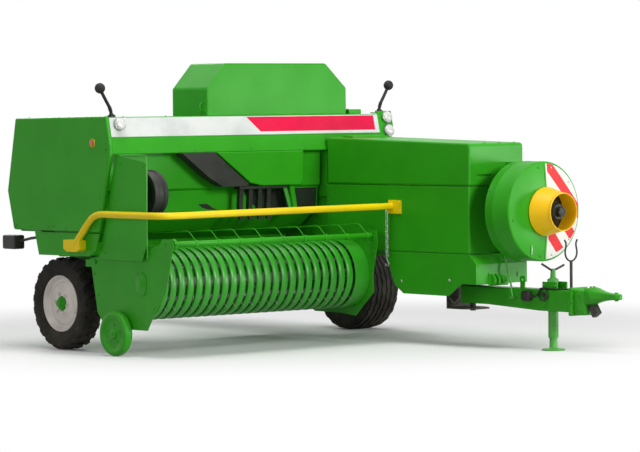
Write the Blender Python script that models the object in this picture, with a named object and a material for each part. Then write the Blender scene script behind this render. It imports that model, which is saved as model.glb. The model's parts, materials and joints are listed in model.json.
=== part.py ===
"""Towed square baler: pickup, feeder, plunger housing and bale chamber on two wheels and a jack.

Metres, +Z up. -Y points at the tractor, +X is the machine's left side. The layout frame, in
which every size below is given, has its origin on the ground under the right wheel. SHIFT
moves the layout so that the model's origin is the centre of its footprint, on the ground.
"""

import math

import bmesh
import bpy
from mathutils import Matrix, Vector

GAP = 0.0003            # between pieces that touch
CLEAR = 0.006           # between pieces that move
RUN = 0.0003            # between a shaft and its bore

# Overall box, in the layout frame
RIGHT_EDGE = -0.250     # outside of the guard rail
LEFT_EDGE = 2.810       # outside of the left tyre
FRONT_EDGE = -3.210     # nose of the hitch
REAR_EDGE = 1.750       # end of the bale chute
SHIFT = Vector((-(RIGHT_EDGE + LEFT_EDGE) / 2, -(FRONT_EDGE + REAR_EDGE) / 2, 0.0))

# Wheels
WHEEL_RADIUS = 0.318
RIGHT_TYRE_WIDTH = 0.150
LEFT_TYRE_WIDTH = 0.290
RIGHT_WHEEL_X = -0.015
LEFT_WHEEL_X = LEFT_EDGE - LEFT_TYRE_WIDTH / 2
RIM_RADIUS = 0.6132 * WHEEL_RADIUS
SPINDLE_RADIUS = 0.022
LUGS = 20

# Frame
AXLE_SIDE = 0.090

# Plunger housing and bale chamber
CASE_RIGHT = 1.800
CASE_LEFT = 2.300
CASE_FRONT = -2.100
CASE_REAR = -0.640
CASE_LOW = 0.643
CASE_SEAM = 1.105
LID_REAR = 1.433
LID_FRONT = 1.393
SHEET = 0.006
CHAMBER_LOW = 0.640
CHAMBER_HIGH = 1.010
CHAMBER_END = 1.300

# Deck, strip panel and twine box
DECK_RIGHT = -0.165
DECK_LEFT = 2.330
DECK_TOP = 1.595
DECK_LOW = 1.345
DECK_FRONT_TOP = -0.600
DECK_FRONT_LOW = -0.658
DECK_REAR = -0.080
HOOD_SIDE = -0.200      # outside of the side hood

# Pickup
PICKUP_RIGHT = -0.130
PICKUP_LEFT = 1.700
REEL_Y = -0.970
REEL_Z = 0.485
BANDS = 22
BAND_PITCH = 0.0743
BAND_SLOT = 0.022
BAND_RADIUS = 0.235
TINE_REACH = 0.258
GUARD_Y = -1.230
GUARD_Z = 0.755
GAUGE_RADIUS = 0.150
LIFT_Y = -0.470
LIFT_Z = 0.620

# Power shaft and flywheel
SHAFT_X = 2.120
SHAFT_Z = 0.932
COVER_RADIUS = 0.3375
COVER_REAR = -2.270
COVER_FRONT = -2.510
CONE_END = -2.700

# Drawbar and jack
TONGUE_X = SHAFT_X
TONGUE_Y = -1.800
TONGUE_SWING = math.radians(0.0)
TONGUE_WIDTH = 0.125
TONGUE_LOW = 0.266
TONGUE_HIGH = 0.410
TONGUE_LENGTH = 1.000
JACK_ALONG = 0.774
JACK_RADIUS = 0.0345
JACK_LEG_RADIUS = 0.027

FINISHES = {            # base colour, roughness, metallic
    "green": ((0.040, 0.360, 0.030), 0.35, 0.1),
    "dark": ((0.030, 0.032, 0.030), 0.55, 0.3),
    "tyre": ((0.014, 0.013, 0.013), 0.85, 0.0),
    "rim": ((0.480, 0.430, 0.390), 0.40, 0.6),
    "yellow": ((1.000, 0.700, 0.010), 0.35, 0.0),
    "steel": ((0.550, 0.560, 0.560), 0.30, 1.0),
    "white": ((0.860, 0.860, 0.850), 0.40, 0.0),
    "red": ((0.850, 0.012, 0.020), 0.35, 0.0),
}

PIVOTS = {              # moving body: its parent body and the point on its axis
    "right_wheel": ("baler", (RIGHT_WHEEL_X, 0.0, WHEEL_RADIUS)),
    "left_wheel": ("baler", (LEFT_WHEEL_X, 0.0, WHEEL_RADIUS)),
    "pickup": ("baler", (0.785, LIFT_Y, LIFT_Z)),
    "reel": ("pickup", (0.785, REEL_Y, REEL_Z)),
    "gauge_wheel": ("pickup", (-0.170, -0.742, GAUGE_RADIUS)),
    "wind_guard": ("pickup", (0.785, GUARD_Y, GUARD_Z)),
    "flywheel": ("baler", (SHAFT_X, COVER_FRONT, SHAFT_Z)),
    "feeder_pulley": ("baler", (0.027, -0.850, 1.080)),
    "tongue": ("baler", (TONGUE_X, TONGUE_Y, TONGUE_LOW)),
    "tall_hood": ("baler", (1.465, -0.130, DECK_TOP + GAP)),
    "chute": ("baler", (2.065, CHAMBER_END + 0.020, CHAMBER_LOW)),
}


def at(axis, along, a, b):
    """The point at this place along an axis and these two places across it, in X, Y, Z order."""
    return {"X": (along, a, b), "Y": (a, along, b), "Z": (a, b, along)}[axis]


def arc(centre, radius, start, end, steps):
    """Points on an arc, from one angle to another in degrees."""
    turns = [math.radians(start + (end - start) * i / steps) for i in range(steps + 1)]
    return [(centre[0] + radius * math.cos(t), centre[1] + radius * math.sin(t)) for t in turns]


def ring(centre, radius, sides, phase=0.0):
    """The corners of a round outline."""
    return arc(centre, radius, phase, phase + 360.0 - 360.0 / sides, sides - 1)


def extruded(outline, axis, low, high):
    """A prism: the outline lies across the axis and runs along it from low to high."""
    shape = bmesh.new()
    face = shape.faces.new([shape.verts.new(at(axis, low, a, b)) for a, b in outline])
    made = bmesh.ops.extrude_face_region(shape, geom=[face])["geom"]
    corners = [item for item in made if isinstance(item, bmesh.types.BMVert)]
    bmesh.ops.translate(shape, vec=Vector(at(axis, high - low, 0.0, 0.0)), verts=corners)
    bmesh.ops.recalc_face_normals(shape, faces=shape.faces)
    return shape


def block(x, y, z):
    """A box from its three ranges."""
    return extruded([(x[0], y[0]), (x[1], y[0]), (x[1], y[1]), (x[0], y[1])], "Z", z[0], z[1])


def rod(axis, centre, radius, low, high, sides=16, phase=0.0):
    """A cylinder along an axis."""
    return extruded(ring(centre, radius, sides, phase), axis, low, high)


def running_bore(radius, sides=16):
    """The radius of a bore whose flats clear a shaft of this radius."""
    return (radius + RUN) / math.cos(math.pi / sides)


def bore_at(axis, centre, radius, low, high, sides=16):
    """The cutter of a running bore, its flats facing the shaft's corners."""
    return rod(axis, centre, running_bore(radius, sides), low, high, sides, 180.0 / sides)


def turned(profile, axis, centre, sides, closed=False, phase=0.0):
    """A lathe shape from (place along the axis, radius) points. A closed profile makes a ring."""
    shape = bmesh.new()
    turn = math.radians(phase)
    across = (math.cos(turn), math.sin(turn))
    points = [at(axis, s, r * across[0], r * across[1]) for s, r in profile]
    verts = [shape.verts.new(point) for point in points]
    edges = [shape.edges.new(pair) for pair in zip(verts, verts[1:])]
    if closed:
        edges.append(shape.edges.new((verts[-1], verts[0])))
    line = Vector(at(axis, 1.0, 0.0, 0.0))
    bmesh.ops.spin(shape, geom=verts + edges, cent=(0, 0, 0), axis=line, dvec=(0, 0, 0),
                   angle=2 * math.pi, steps=sides, use_merge=True)
    bmesh.ops.remove_doubles(shape, verts=shape.verts, dist=1e-6)
    bmesh.ops.translate(shape, vec=Vector(at(axis, 0.0, *centre)), verts=shape.verts)
    bmesh.ops.recalc_face_normals(shape, faces=shape.faces)
    return shape


def piped(points, radius, sides=8):
    """A round bar or tube along a path, its section carried round each bend."""
    path = [Vector(point) for point in points]
    shape = bmesh.new()
    rings = []
    normal = None
    for i, point in enumerate(path):
        before = (point - path[i - 1]).normalized() if i else None
        after = (path[i + 1] - point).normalized() if i + 1 < len(path) else None
        way = (before or after) + (after or before)
        way.normalize()
        if normal is None:
            normal = way.orthogonal().normalized()
        normal = (normal - way * normal.dot(way)).normalized()
        side = way.cross(normal)
        stretch = 1.0 / max(way.dot(after or before), 0.5)
        lean = ((after or before) - way * way.dot(after or before))
        lean = lean.normalized() if lean.length > 1e-6 else None
        corners = []
        for k in range(sides):
            turn = 2 * math.pi * k / sides
            offset = normal * (radius * math.cos(turn)) + side * (radius * math.sin(turn))
            if lean is not None:
                offset += lean * (offset.dot(lean) * (stretch - 1.0))
            corners.append(shape.verts.new(point + offset))
        rings.append(corners)
    for low, high in zip(rings, rings[1:]):
        for k in range(sides):
            n = (k + 1) % sides
            shape.faces.new((low[k], low[n], high[n], high[k]))
    shape.faces.new(rings[0][::-1])
    shape.faces.new(rings[-1])
    bmesh.ops.recalc_face_normals(shape, faces=shape.faces)
    return shape


def sheet_outline(line, thickness):
    """The closed outline of a bent sheet whose one face follows the line, to its left."""
    points = [Vector(point) for point in line]
    inner = []
    for i, point in enumerate(points):
        before = (point - points[i - 1]).normalized() if i else None
        after = (points[i + 1] - point).normalized() if i + 1 < len(points) else None
        first = before or after
        last = after or before
        normals = Vector((-first.y, first.x)), Vector((-last.y, last.x))
        middle = (normals[0] + normals[1]).normalized()
        inner.append(point + middle * (thickness / max(middle.dot(normals[0]), 0.3)))
    return [tuple(p) for p in points] + [tuple(p) for p in reversed(inner)]


def bent_sheet(line, thickness, axis, low, high):
    """A folded sheet: the line across the axis, thickened to its left, and run along the axis."""
    return extruded(sheet_outline(line, thickness), axis, low, high)


def bevelled(shape, width, segments=2, angle=40.0):
    """The shape with its sharp edges rounded."""
    limit = math.radians(angle)
    edges = [edge for edge in shape.edges if edge.calc_face_angle(0.0) > limit]
    bmesh.ops.bevel(shape, geom=edges, offset=width, segments=segments, profile=0.5,
                    affect="EDGES", clamp_overlap=True)
    return shape


def turned_to(shape, axis, angle, centre):
    """The shape turned about a point, the angle in radians."""
    turn = Matrix.Rotation(angle, 3, axis)
    bmesh.ops.rotate(shape, cent=Vector(centre), matrix=turn, verts=shape.verts)
    return shape


def helper_object(shape):
    """A short-lived object that holds the shape for a Boolean."""
    mesh = bpy.data.meshes.new("helper")
    shape.to_mesh(mesh)
    helper = bpy.data.objects.new("helper", mesh)
    helper.hide_render = True
    helper.display_type = "WIRE"
    bpy.context.scene.collection.objects.link(helper)
    return helper


def gathered(shapes):
    """One bmesh that holds all of the shapes, not yet joined."""
    whole = bmesh.new()
    for shape in shapes:
        mesh = bpy.data.meshes.new("helper")
        shape.to_mesh(mesh)
        whole.from_mesh(mesh)
        bpy.data.meshes.remove(mesh)
    return whole


def boolean(base, others, operation):
    """The base joined with the others, or cut by them, by the exact solver."""
    target = helper_object(base)
    tool = helper_object(gathered(others))
    modifier = target.modifiers.new("Boolean", "BOOLEAN")
    modifier.operation = operation
    modifier.solver = "EXACT"
    modifier.use_self = len(others) > 1
    modifier.object = tool
    graph = bpy.context.evaluated_depsgraph_get()
    mesh = bpy.data.meshes.new_from_object(target.evaluated_get(graph))
    result = bmesh.new()
    result.from_mesh(mesh)
    bpy.data.meshes.remove(mesh)
    for helper in (target, tool):
        held = helper.data
        bpy.data.objects.remove(helper, do_unlink=True)
        bpy.data.meshes.remove(held)
    bmesh.ops.remove_doubles(result, verts=result.verts, dist=1e-6)
    return result


def union(*shapes):
    return boolean(shapes[0], shapes[1:], "UNION")


def cut(base, *cutters):
    return boolean(base, cutters, "DIFFERENCE")


def clear_scene():
    for thing in list(bpy.data.objects):
        bpy.data.objects.remove(thing, do_unlink=True)


JOINTS = {}


def add_joint_empties():
    """An empty on each joint's axis, parented as the bodies are."""
    for body, (parent, point) in PIVOTS.items():
        empty = bpy.data.objects.new("joint_" + body, None)
        empty.empty_display_size = 0.1
        bpy.context.scene.collection.objects.link(empty)
        place = Vector(point) + SHIFT
        if parent in JOINTS:
            empty.parent = JOINTS[parent]
            place = Vector(point) - Vector(PIVOTS[parent][1])
        empty.location = place
        JOINTS[body] = empty


def finish_of(name, key):
    colour, roughness, metallic = FINISHES[key]
    material = bpy.data.materials.new(name + "_" + key)
    material.use_nodes = True
    shader = material.node_tree.nodes["Principled BSDF"]
    shader.inputs["Base Color"].default_value = (*colour, 1.0)
    shader.inputs["Roughness"].default_value = roughness
    shader.inputs["Metallic"].default_value = metallic
    material.diffuse_color = (*colour, 1.0)
    return material


def add_piece(name, shape, key, body="baler"):
    """One named object from a shape in the layout frame, its origin on its body's joint."""
    origin = Vector(PIVOTS[body][1]) if body in PIVOTS else -SHIFT
    bmesh.ops.translate(shape, vec=-origin, verts=shape.verts)
    mesh = bpy.data.meshes.new(name)
    shape.to_mesh(mesh)
    shape.free()
    mesh.shade_smooth()
    mesh.set_sharp_from_angle(angle=math.radians(32))
    mesh.materials.append(finish_of(name, key))
    piece = bpy.data.objects.new(name, mesh)
    bpy.context.scene.collection.objects.link(piece)
    if body in PIVOTS:
        piece.parent = JOINTS[body]
    return piece


def tyre_section(width, radius, grooves):
    """A tyre's closed section as (across, radius) points, with straight grooves in its tread."""
    half = width / 2
    wall = radius - RIM_RADIUS
    section = [(-half * 0.80, RIM_RADIUS + GAP), (-half * 0.98, RIM_RADIUS + 0.30 * wall),
               (-half, RIM_RADIUS + 0.60 * wall), (-half * 0.90, radius - 0.022)]
    if grooves:
        land = half * 1.60 / (2 * grooves + 1)
        for i in range(grooves):
            left = -half * 0.80 + land * (2 * i + 1)
            section += [(left - land, radius - (0.007 if i == 0 else 0.0)), (left, radius),
                        (left + land * 0.2, radius - 0.010), (left + land * 0.8, radius - 0.010)]
        section += [(half * 0.80 - land, radius), (half * 0.80, radius - 0.007)]
    else:
        section += [(-half * 0.70, radius - 0.014), (half * 0.70, radius - 0.014)]
    section += [(half * 0.90, radius - 0.022), (half, RIM_RADIUS + 0.60 * wall),
                (half * 0.98, RIM_RADIUS + 0.30 * wall), (half * 0.80, RIM_RADIUS + GAP)]
    return section


def lug_bars(width, radius):
    """The tread bars of the right tyre: slanted blocks, left and right in turn."""
    bars = []
    for i in range(LUGS):
        side = 1 if i % 2 else -1
        tip = [(side * width * 0.02, radius - 0.030), (side * width * 0.50, radius - 0.034),
               (side * width * 0.44, radius - 0.004), (side * width * 0.02, radius)]
        bar = extruded([(x, -r) for x, r in tip][::side], "Z", -0.013, 0.013)
        for vert in bar.verts:
            x, r, t = vert.co
            vert.co = (x, t + abs(x) * 0.28, r)
        bmesh.ops.recalc_face_normals(bar, faces=bar.faces)
        bars.append(turned_to(bar, "X", math.radians(360.0 * i / LUGS), (0, 0, 0)))
    return bars


def add_wheels():
    """The right wheel has a barred tyre, the left one a wider grooved one, both on pressed rims."""
    table = (           # side, place, width, grooves in the tread, which way is outside
        ("right", RIGHT_WHEEL_X, RIGHT_TYRE_WIDTH, 0, -1),
        ("left", LEFT_WHEEL_X, LEFT_TYRE_WIDTH, 4, 1),
    )
    for side, x, width, grooves, out in table:
        body = side + "_wheel"
        tyre = turned(tyre_section(width, WHEEL_RADIUS, grooves), "X", (0, 0), 28, closed=True)
        if not grooves:
            tyre = union(tyre, *lug_bars(width, WHEEL_RADIUS))
        lip = width * 0.40
        rim = turned([(-out * lip, 0.150), (-out * lip, RIM_RADIUS - GAP),
                      (out * lip, RIM_RADIUS - GAP), (out * lip, 0.176),
                      (out * (lip - 0.030), 0.168), (out * (lip - 0.026), 0.110),
                      (out * (lip - 0.012), 0.085), (out * (lip - 0.012), 0.0503),
                      (out * (lip - 0.024), 0.0503), (out * (lip - 0.040), 0.112),
                      (out * (lip - 0.046), 0.150)],
                     "X", (0, 0), 28, closed=True)
        hub = turned([(-out * (width / 2 + 0.004), running_bore(SPINDLE_RADIUS)),
                      (-out * (width / 2 + 0.004), 0.040), (out * (lip - 0.030), 0.0496),
                      (out * (lip - 0.014), 0.0496), (out * (lip + 0.002), 0.040),
                      (out * (lip + 0.014), 0.027), (out * (lip + 0.014), running_bore(SPINDLE_RADIUS))],
                     "X", (0, 0), 16, closed=True)
        centre = Vector((x, 0.0, WHEEL_RADIUS))
        for shape in (tyre, rim, hub):
            bmesh.ops.translate(shape, vec=centre, verts=shape.verts)
        add_piece(side + "_tyre", tyre, "tyre", body)
        add_piece(side + "_rim", rim, "rim", body)
        add_piece(side + "_hub", hub, "green", body)


def add_frame():
    """The axle with its spindles, the saddles under the chamber and the feeder's beams."""
    half = AXLE_SIDE / 2
    right_end = RIGHT_WHEEL_X + RIGHT_TYRE_WIDTH / 2 + 0.016
    left_end = LEFT_WHEEL_X - LEFT_TYRE_WIDTH / 2 - 0.016
    spindle_right = RIGHT_WHEEL_X - RIGHT_TYRE_WIDTH * 0.40 - 0.022
    spindle_left = LEFT_WHEEL_X + LEFT_TYRE_WIDTH * 0.40 + 0.022
    under = CHAMBER_LOW - GAP
    pieces = [block((right_end, left_end), (-half, half), (WHEEL_RADIUS - half, WHEEL_RADIUS + half)),
              rod("X", (0.0, WHEEL_RADIUS), SPINDLE_RADIUS, spindle_right, right_end + 0.02, 16, 11.25),
              rod("X", (0.0, WHEEL_RADIUS), SPINDLE_RADIUS, left_end - 0.02, spindle_left, 16, 11.25)]
    saddles = (         # right side, left side, height reached
        (right_end + 0.02, right_end + 0.10, under - 0.04),
        (CASE_RIGHT, CASE_RIGHT + 0.05, under),
        (CASE_LEFT - 0.05, CASE_LEFT, under),
    )
    for low, high, top in saddles:
        pieces.append(extruded([(-0.11, top), (-half - 0.01, WHEEL_RADIUS + 0.02),
                                (half + 0.01, WHEEL_RADIUS + 0.02), (0.11, top)], "X", low, high))
    rails = (           # x range, y range, z range
        ((right_end + 0.02, right_end + 0.08), (LIFT_Y + 0.10, 0.12), (under - 0.06, under)),
        ((CASE_LEFT - 0.06, CASE_LEFT), (CASE_FRONT + 0.20, 0.30), (under - 0.06, under)),
        ((CASE_RIGHT, CASE_RIGHT + 0.05), (CASE_REAR + 0.06, 0.30), (under - 0.06, under)),
        ((right_end + 0.02, CASE_LEFT), (-0.30, -0.24), (under - 0.06, under)),
    )
    pieces += [block(*ranges) for ranges in rails]
    pieces += [         # the post under the twine box and the pickup's pivots
        block((right_end + 0.02, right_end + 0.10), (-0.04, 0.10), (under - 0.06, 0.812)),
        block((-0.112, right_end + 0.03), (-0.40, -0.34), (0.585, 0.635)),
        block((-0.112, -0.100), (LIFT_Y - 0.03, -0.34), (0.585, 0.636)),
        rod("X", (LIFT_Y, LIFT_Z), 0.015, PICKUP_RIGHT - 0.010, -0.105),
        block((PICKUP_LEFT + 0.013, CASE_RIGHT + 0.02), (LIFT_Y - 0.03, LIFT_Y + 0.05), (0.590, 0.6355)),
        rod("X", (LIFT_Y, LIFT_Z), 0.015, PICKUP_LEFT - 0.008, PICKUP_LEFT + 0.020),
    ]
    add_piece("main_frame", union(*pieces), "green")


def add_housing():
    """The plunger's case ahead of the chamber, its lid, its skirt and the drawbar's bracket."""
    case = bevelled(block((CASE_RIGHT, CASE_LEFT), (CASE_FRONT, CASE_REAR),
                          (CASE_LOW, CASE_SEAM - GAP)), 0.010)
    add_piece("plunger_case", case, "green")
    rise = (LID_REAR - LID_FRONT) / (CASE_REAR - CASE_FRONT)
    rear = DECK_FRONT_LOW - 0.004
    lid = extruded([(rear, CASE_SEAM), (rear, LID_REAR), (CASE_FRONT, LID_FRONT),
                    (CASE_FRONT - 0.012, LID_FRONT - 0.02), (CASE_FRONT - 0.012, CASE_SEAM)],
                   "X", CASE_RIGHT - 0.006, CASE_LEFT + 0.006)
    slot = block((CASE_RIGHT + 0.065, CASE_RIGHT + 0.205), (CASE_FRONT - 0.05, CASE_FRONT + 0.006),
                 (CASE_SEAM + 0.062, CASE_SEAM + 0.076))
    ridge = extruded([(CASE_REAR - 0.10, LID_REAR - 0.02 - 0.10 * rise),
                      (CASE_REAR - 0.10, LID_REAR + 0.012 - 0.10 * rise),
                      (CASE_REAR - 0.20, LID_REAR + 0.012 - 0.20 * rise),
                      (CASE_REAR - 0.20, LID_REAR - 0.02 - 0.20 * rise)],
                     "X", CASE_RIGHT + 0.08, CASE_LEFT - 0.08)
    add_piece("case_lid", union(cut(bevelled(lid, 0.012), slot), ridge), "green")

    top = CASE_LOW - GAP
    side = extruded([(-1.270, top), (-1.284, 0.567), (-1.354, 0.410), (-1.440, 0.355),
                     (-1.890, 0.353), (-2.021, 0.440), (CASE_FRONT - 0.062, 0.440),
                     (CASE_FRONT - 0.062, 0.575), (CASE_FRONT + 0.004, top)],
                    "X", CASE_RIGHT, CASE_RIGHT + SHEET)
    front = bent_sheet([(CASE_FRONT - 0.062, 0.440), (CASE_FRONT - 0.062, 0.575),
                        (CASE_FRONT + 0.002, top - 0.002)][::-1],
                       SHEET, "X", CASE_RIGHT, CASE_LEFT - 0.015)
    flange = block((CASE_RIGHT, CASE_RIGHT + 0.05), (CASE_FRONT + 0.01, -1.275), (top - SHEET, top))
    strut = block((CASE_RIGHT + 0.25, CASE_RIGHT + 0.30), (CASE_FRONT - 0.060, CASE_FRONT + 0.08),
                  (top - 0.05, top))
    add_piece("case_skirt", union(side, front, flange, strut), "green")

    under = CASE_LOW - GAP
    wide = TONGUE_WIDTH / 2 + 0.048
    plates = []
    for low in (TONGUE_LOW - 0.018, TONGUE_HIGH + CLEAR):
        outline = [(TONGUE_X - wide, TONGUE_Y + 0.150), (TONGUE_X - wide, TONGUE_Y),
                   (TONGUE_X - 0.070, TONGUE_Y - 0.090), (TONGUE_X + 0.070, TONGUE_Y - 0.090),
                   (TONGUE_X + wide, TONGUE_Y), (TONGUE_X + wide, TONGUE_Y + 0.150)]
        plates.append(extruded(outline, "Z", low, low + 0.012))
    web = block((TONGUE_X - wide, TONGUE_X + wide), (TONGUE_Y + 0.135, TONGUE_Y + 0.150),
                (TONGUE_LOW - 0.018, under))
    cheeks = [extruded([(TONGUE_Y + 0.140, TONGUE_HIGH + CLEAR), (TONGUE_Y + 0.140, under),
                        (TONGUE_Y - 0.150, under), (TONGUE_Y - 0.150, under - 0.060),
                        (TONGUE_Y - 0.060, TONGUE_HIGH + CLEAR)], "X", x, x + 0.012)
              for x in (TONGUE_X - wide, TONGUE_X + wide - 0.012)]
    pin = rod("Z", (TONGUE_X, TONGUE_Y), 0.020, TONGUE_LOW - 0.030, TONGUE_HIGH + 0.034)
    nut = rod("Z", (TONGUE_X, TONGUE_Y), 0.032, TONGUE_HIGH + 0.014, TONGUE_HIGH + 0.040, 6)
    add_piece("drawbar_bracket", union(plates[0], plates[1], web, pin, nut, *cheeks), "green")


def add_chamber():
    """The open-ended bale chamber, its top rails, the tension frame and the folding chute."""
    right, left = CASE_RIGHT + 0.030, CASE_LEFT
    front = CASE_REAR + GAP
    tube = block((right, left), (front, CHAMBER_END), (CHAMBER_LOW, CHAMBER_HIGH))
    hollow = block((right + SHEET, left - SHEET), (front + 0.02, CHAMBER_END + 0.1),
                   (CHAMBER_LOW + SHEET, CHAMBER_HIGH - SHEET))
    roof = block((right + 0.035, left - 0.035), (0.50, CHAMBER_END - 0.04),
                 (CHAMBER_HIGH - 0.05, CHAMBER_HIGH + 0.05))
    windows = [block((right - 0.1, left + 0.1), (low, low + 0.26),
                     (CHAMBER_LOW + 0.09, CHAMBER_HIGH - 0.09)) for low in (0.56, 0.90)]
    base = CHAMBER_HIGH - 0.001
    rails = [block((x, x + 0.05), (0.42, CHAMBER_END), (base, base + 0.018))
             for x in (right + 0.005, left - 0.055)]
    ties = [block((right + 0.005, left - 0.005), (y, y + 0.05), (base, base + 0.030))
            for y in (0.44, 0.84, CHAMBER_END - 0.07)]
    hinge_y, hinge_z = CHAMBER_END + 0.020, CHAMBER_LOW
    lugs = [block((x, x + 0.010), (CHAMBER_END - 0.010, hinge_y + 0.010), (hinge_z - 0.010, hinge_z + 0.010))
            for x in (right + 0.010, left - 0.020)]
    pin = rod("X", (hinge_y, hinge_z), 0.006, right + 0.012, left - 0.012)
    body = cut(tube, hollow, roof, *windows)
    add_piece("bale_chamber", union(body, pin, *lugs, *rails, *ties), "green")

    bars = [block((right - 0.055, left + 0.055), (1.02, 1.07), (low, low + 0.05))
            for low in (base + 0.018 + GAP, CHAMBER_LOW - 0.05 - GAP)]
    uprights = []
    for x in (right - 0.030, left + 0.030):
        top = base + 0.068
        spring = [(top - 0.004, 0.0)]
        for i in range(5):
            spring += [(top + 0.020 * i, 0.024), (top + 0.020 * i + 0.010, 0.017)]
        spring += [(top + 0.100, 0.024), (top + 0.106, 0.0)]
        uprights += [rod("Z", (x, 1.045), 0.010, CHAMBER_LOW - 0.07, top + 0.15, 8),
                     turned(spring, "Z", (x, 1.045), 8),
                     block((x - 0.009, x + 0.009), (1.037, 1.15), (top + 0.135, top + 0.147))]
    add_piece("tension_frame", union(*bars, *uprights), "green")

    drop = 0.080
    floor = extruded([(hinge_y, hinge_z - 0.006), (hinge_y, hinge_z + 0.002),
                      (REAR_EDGE - 0.03, hinge_z - drop + 0.008), (REAR_EDGE, hinge_z - drop - 0.010),
                      (REAR_EDGE - 0.005, hinge_z - drop - 0.014),
                      (REAR_EDGE - 0.03, hinge_z - drop)], "X", right + 0.024, left - 0.024)
    lips = [extruded([(hinge_y + 0.02, hinge_z - 0.010), (hinge_y + 0.02, hinge_z + 0.020),
                      (hinge_y + 0.15, hinge_z + 0.045), (REAR_EDGE - 0.10, hinge_z - drop + 0.075),
                      (REAR_EDGE - 0.03, hinge_z - drop + 0.004), (REAR_EDGE - 0.03, hinge_z - drop)],
                     "X", x, x + SHEET) for x in (right + 0.024, left - 0.024 - SHEET)]
    barrel = rod("X", (hinge_y, hinge_z), 0.011, right + 0.023, left - 0.023, 16)
    bore = bore_at("X", (hinge_y, hinge_z), 0.006, right, left)
    add_piece("bale_chute", cut(union(floor, barrel, *lips), bore), "green", "chute")


def add_deck():
    """The cross deck with its sloping front, and the closed knotter case that carries it."""
    deck = extruded([(DECK_FRONT_LOW + 0.006, DECK_LOW), (DECK_FRONT_TOP + 0.006, DECK_TOP),
                     (DECK_REAR, DECK_TOP), (DECK_REAR, DECK_LOW + 0.06), (DECK_REAR - 0.05, DECK_LOW)],
                    "X", DECK_RIGHT, DECK_LEFT)
    step = bevelled(block((2.150, 2.270), (-0.50, -0.30), (DECK_TOP - 0.01, DECK_TOP + 0.035)), 0.006)
    case = bevelled(block((CASE_RIGHT + 0.015, CASE_LEFT + 0.015), (CASE_REAR + 0.006, DECK_REAR - 0.03),
                          (CHAMBER_HIGH + GAP, DECK_LOW - GAP)), 0.008)
    add_piece("knotter_case", case, "green")

    lean = math.atan2(DECK_FRONT_TOP - DECK_FRONT_LOW, DECK_TOP - DECK_LOW)
    slope = math.hypot(DECK_FRONT_TOP - DECK_FRONT_LOW, DECK_TOP - DECK_LOW)
    foot = Vector((0.0, DECK_FRONT_LOW + 0.006 - GAP, DECK_LOW))

    def on_slope(outline, near, far):
        """A panel on the deck's front: outline in X and height up the slope, depth outwards."""
        panel = extruded(outline, "Y", -far, -near)
        turned_to(panel, "X", -lean, (0, 0, 0))
        bmesh.ops.translate(panel, vec=foot, verts=panel.verts)
        return panel

    band_top = 0.118
    band = on_slope([(DECK_RIGHT, 0.003), (CASE_RIGHT - 0.010, 0.003), (CASE_RIGHT - 0.010, band_top),
                     (DECK_RIGHT, band_top)], -0.010, 0.004)
    add_piece("cross_deck", union(deck, step, band), "green")
    low, high = band_top + GAP, slope - 0.006
    strip = on_slope([(DECK_RIGHT, low), (DECK_LEFT, low), (DECK_LEFT, high),
                      (DECK_RIGHT, high)], 0.0, 0.006)
    add_piece("front_strip", strip, "white")
    middle = (low + high) / 2
    for name, x in (("front_lamp", -0.023),):
        lamp = turned([(-0.0063, 0.0), (-0.0063, 0.045), (-0.022, 0.045), (-0.034, 0.034),
                       (-0.040, 0.0)], "Y", (x, middle + 0.018), 20)
        turned_to(lamp, "X", -lean, (0, 0, 0))
        bmesh.ops.translate(lamp, vec=foot, verts=lamp.verts)
        add_piece(name, lamp, "white")

    plate = on_slope([(DECK_LEFT + GAP, 0.075), (2.425, 0.075), (2.470, 0.120), (2.470, slope + 0.02),
                      (DECK_LEFT + GAP, slope + 0.02)], 0.0, 0.005)
    arm = block((DECK_LEFT + GAP, DECK_LEFT + 0.05), (DECK_FRONT_LOW + 0.05, DECK_FRONT_TOP + 0.12),
                (DECK_LOW + 0.16, DECK_LOW + 0.20))
    shelf = block((DECK_LEFT + GAP, 2.440), (-0.595, -0.530), (1.598, 1.606))
    add_piece("lamp_bracket", union(plate, arm, shelf), "green")
    for name, up in (("left_lamp_lower", 0.130), ("left_lamp_upper", 0.228)):
        lamp = turned([(-0.0053, 0.0), (-0.0053, 0.044), (-0.024, 0.044), (-0.038, 0.032),
                       (-0.044, 0.0)], "Y", (2.410, up), 20)
        turned_to(lamp, "X", -lean, (0, 0, 0))
        bmesh.ops.translate(lamp, vec=foot, verts=lamp.verts)
        add_piece(name, lamp, "white")

    markers = (         # name, foot of the stalk, which way it leans
        ("right_marker", (-0.046, -0.560, DECK_TOP + GAP), -1),
        ("left_marker", (2.388, -0.560, 1.606 + GAP), 1),
    )
    for name, (x, y, z), way in markers:
        base = block((x - 0.02, x + 0.02), (y - 0.02, y + 0.02), (z, z + 0.024))
        stalk = piped([(x, y, z + 0.015), (x + way * 0.014, y, z + 0.062),
                       (x + way * 0.088, y, z + 0.180)], 0.011, 8)
        ball = turned([(-0.035, 0.0), (-0.030, 0.022), (-0.012, 0.036), (0.012, 0.036),
                       (0.030, 0.022), (0.035, 0.0)], "Y", (x + way * 0.094, z + 0.194), 16)
        bmesh.ops.translate(ball, vec=(0, y, 0), verts=ball.verts)
        add_piece(name, union(base, stalk, ball), "dark")


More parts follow.
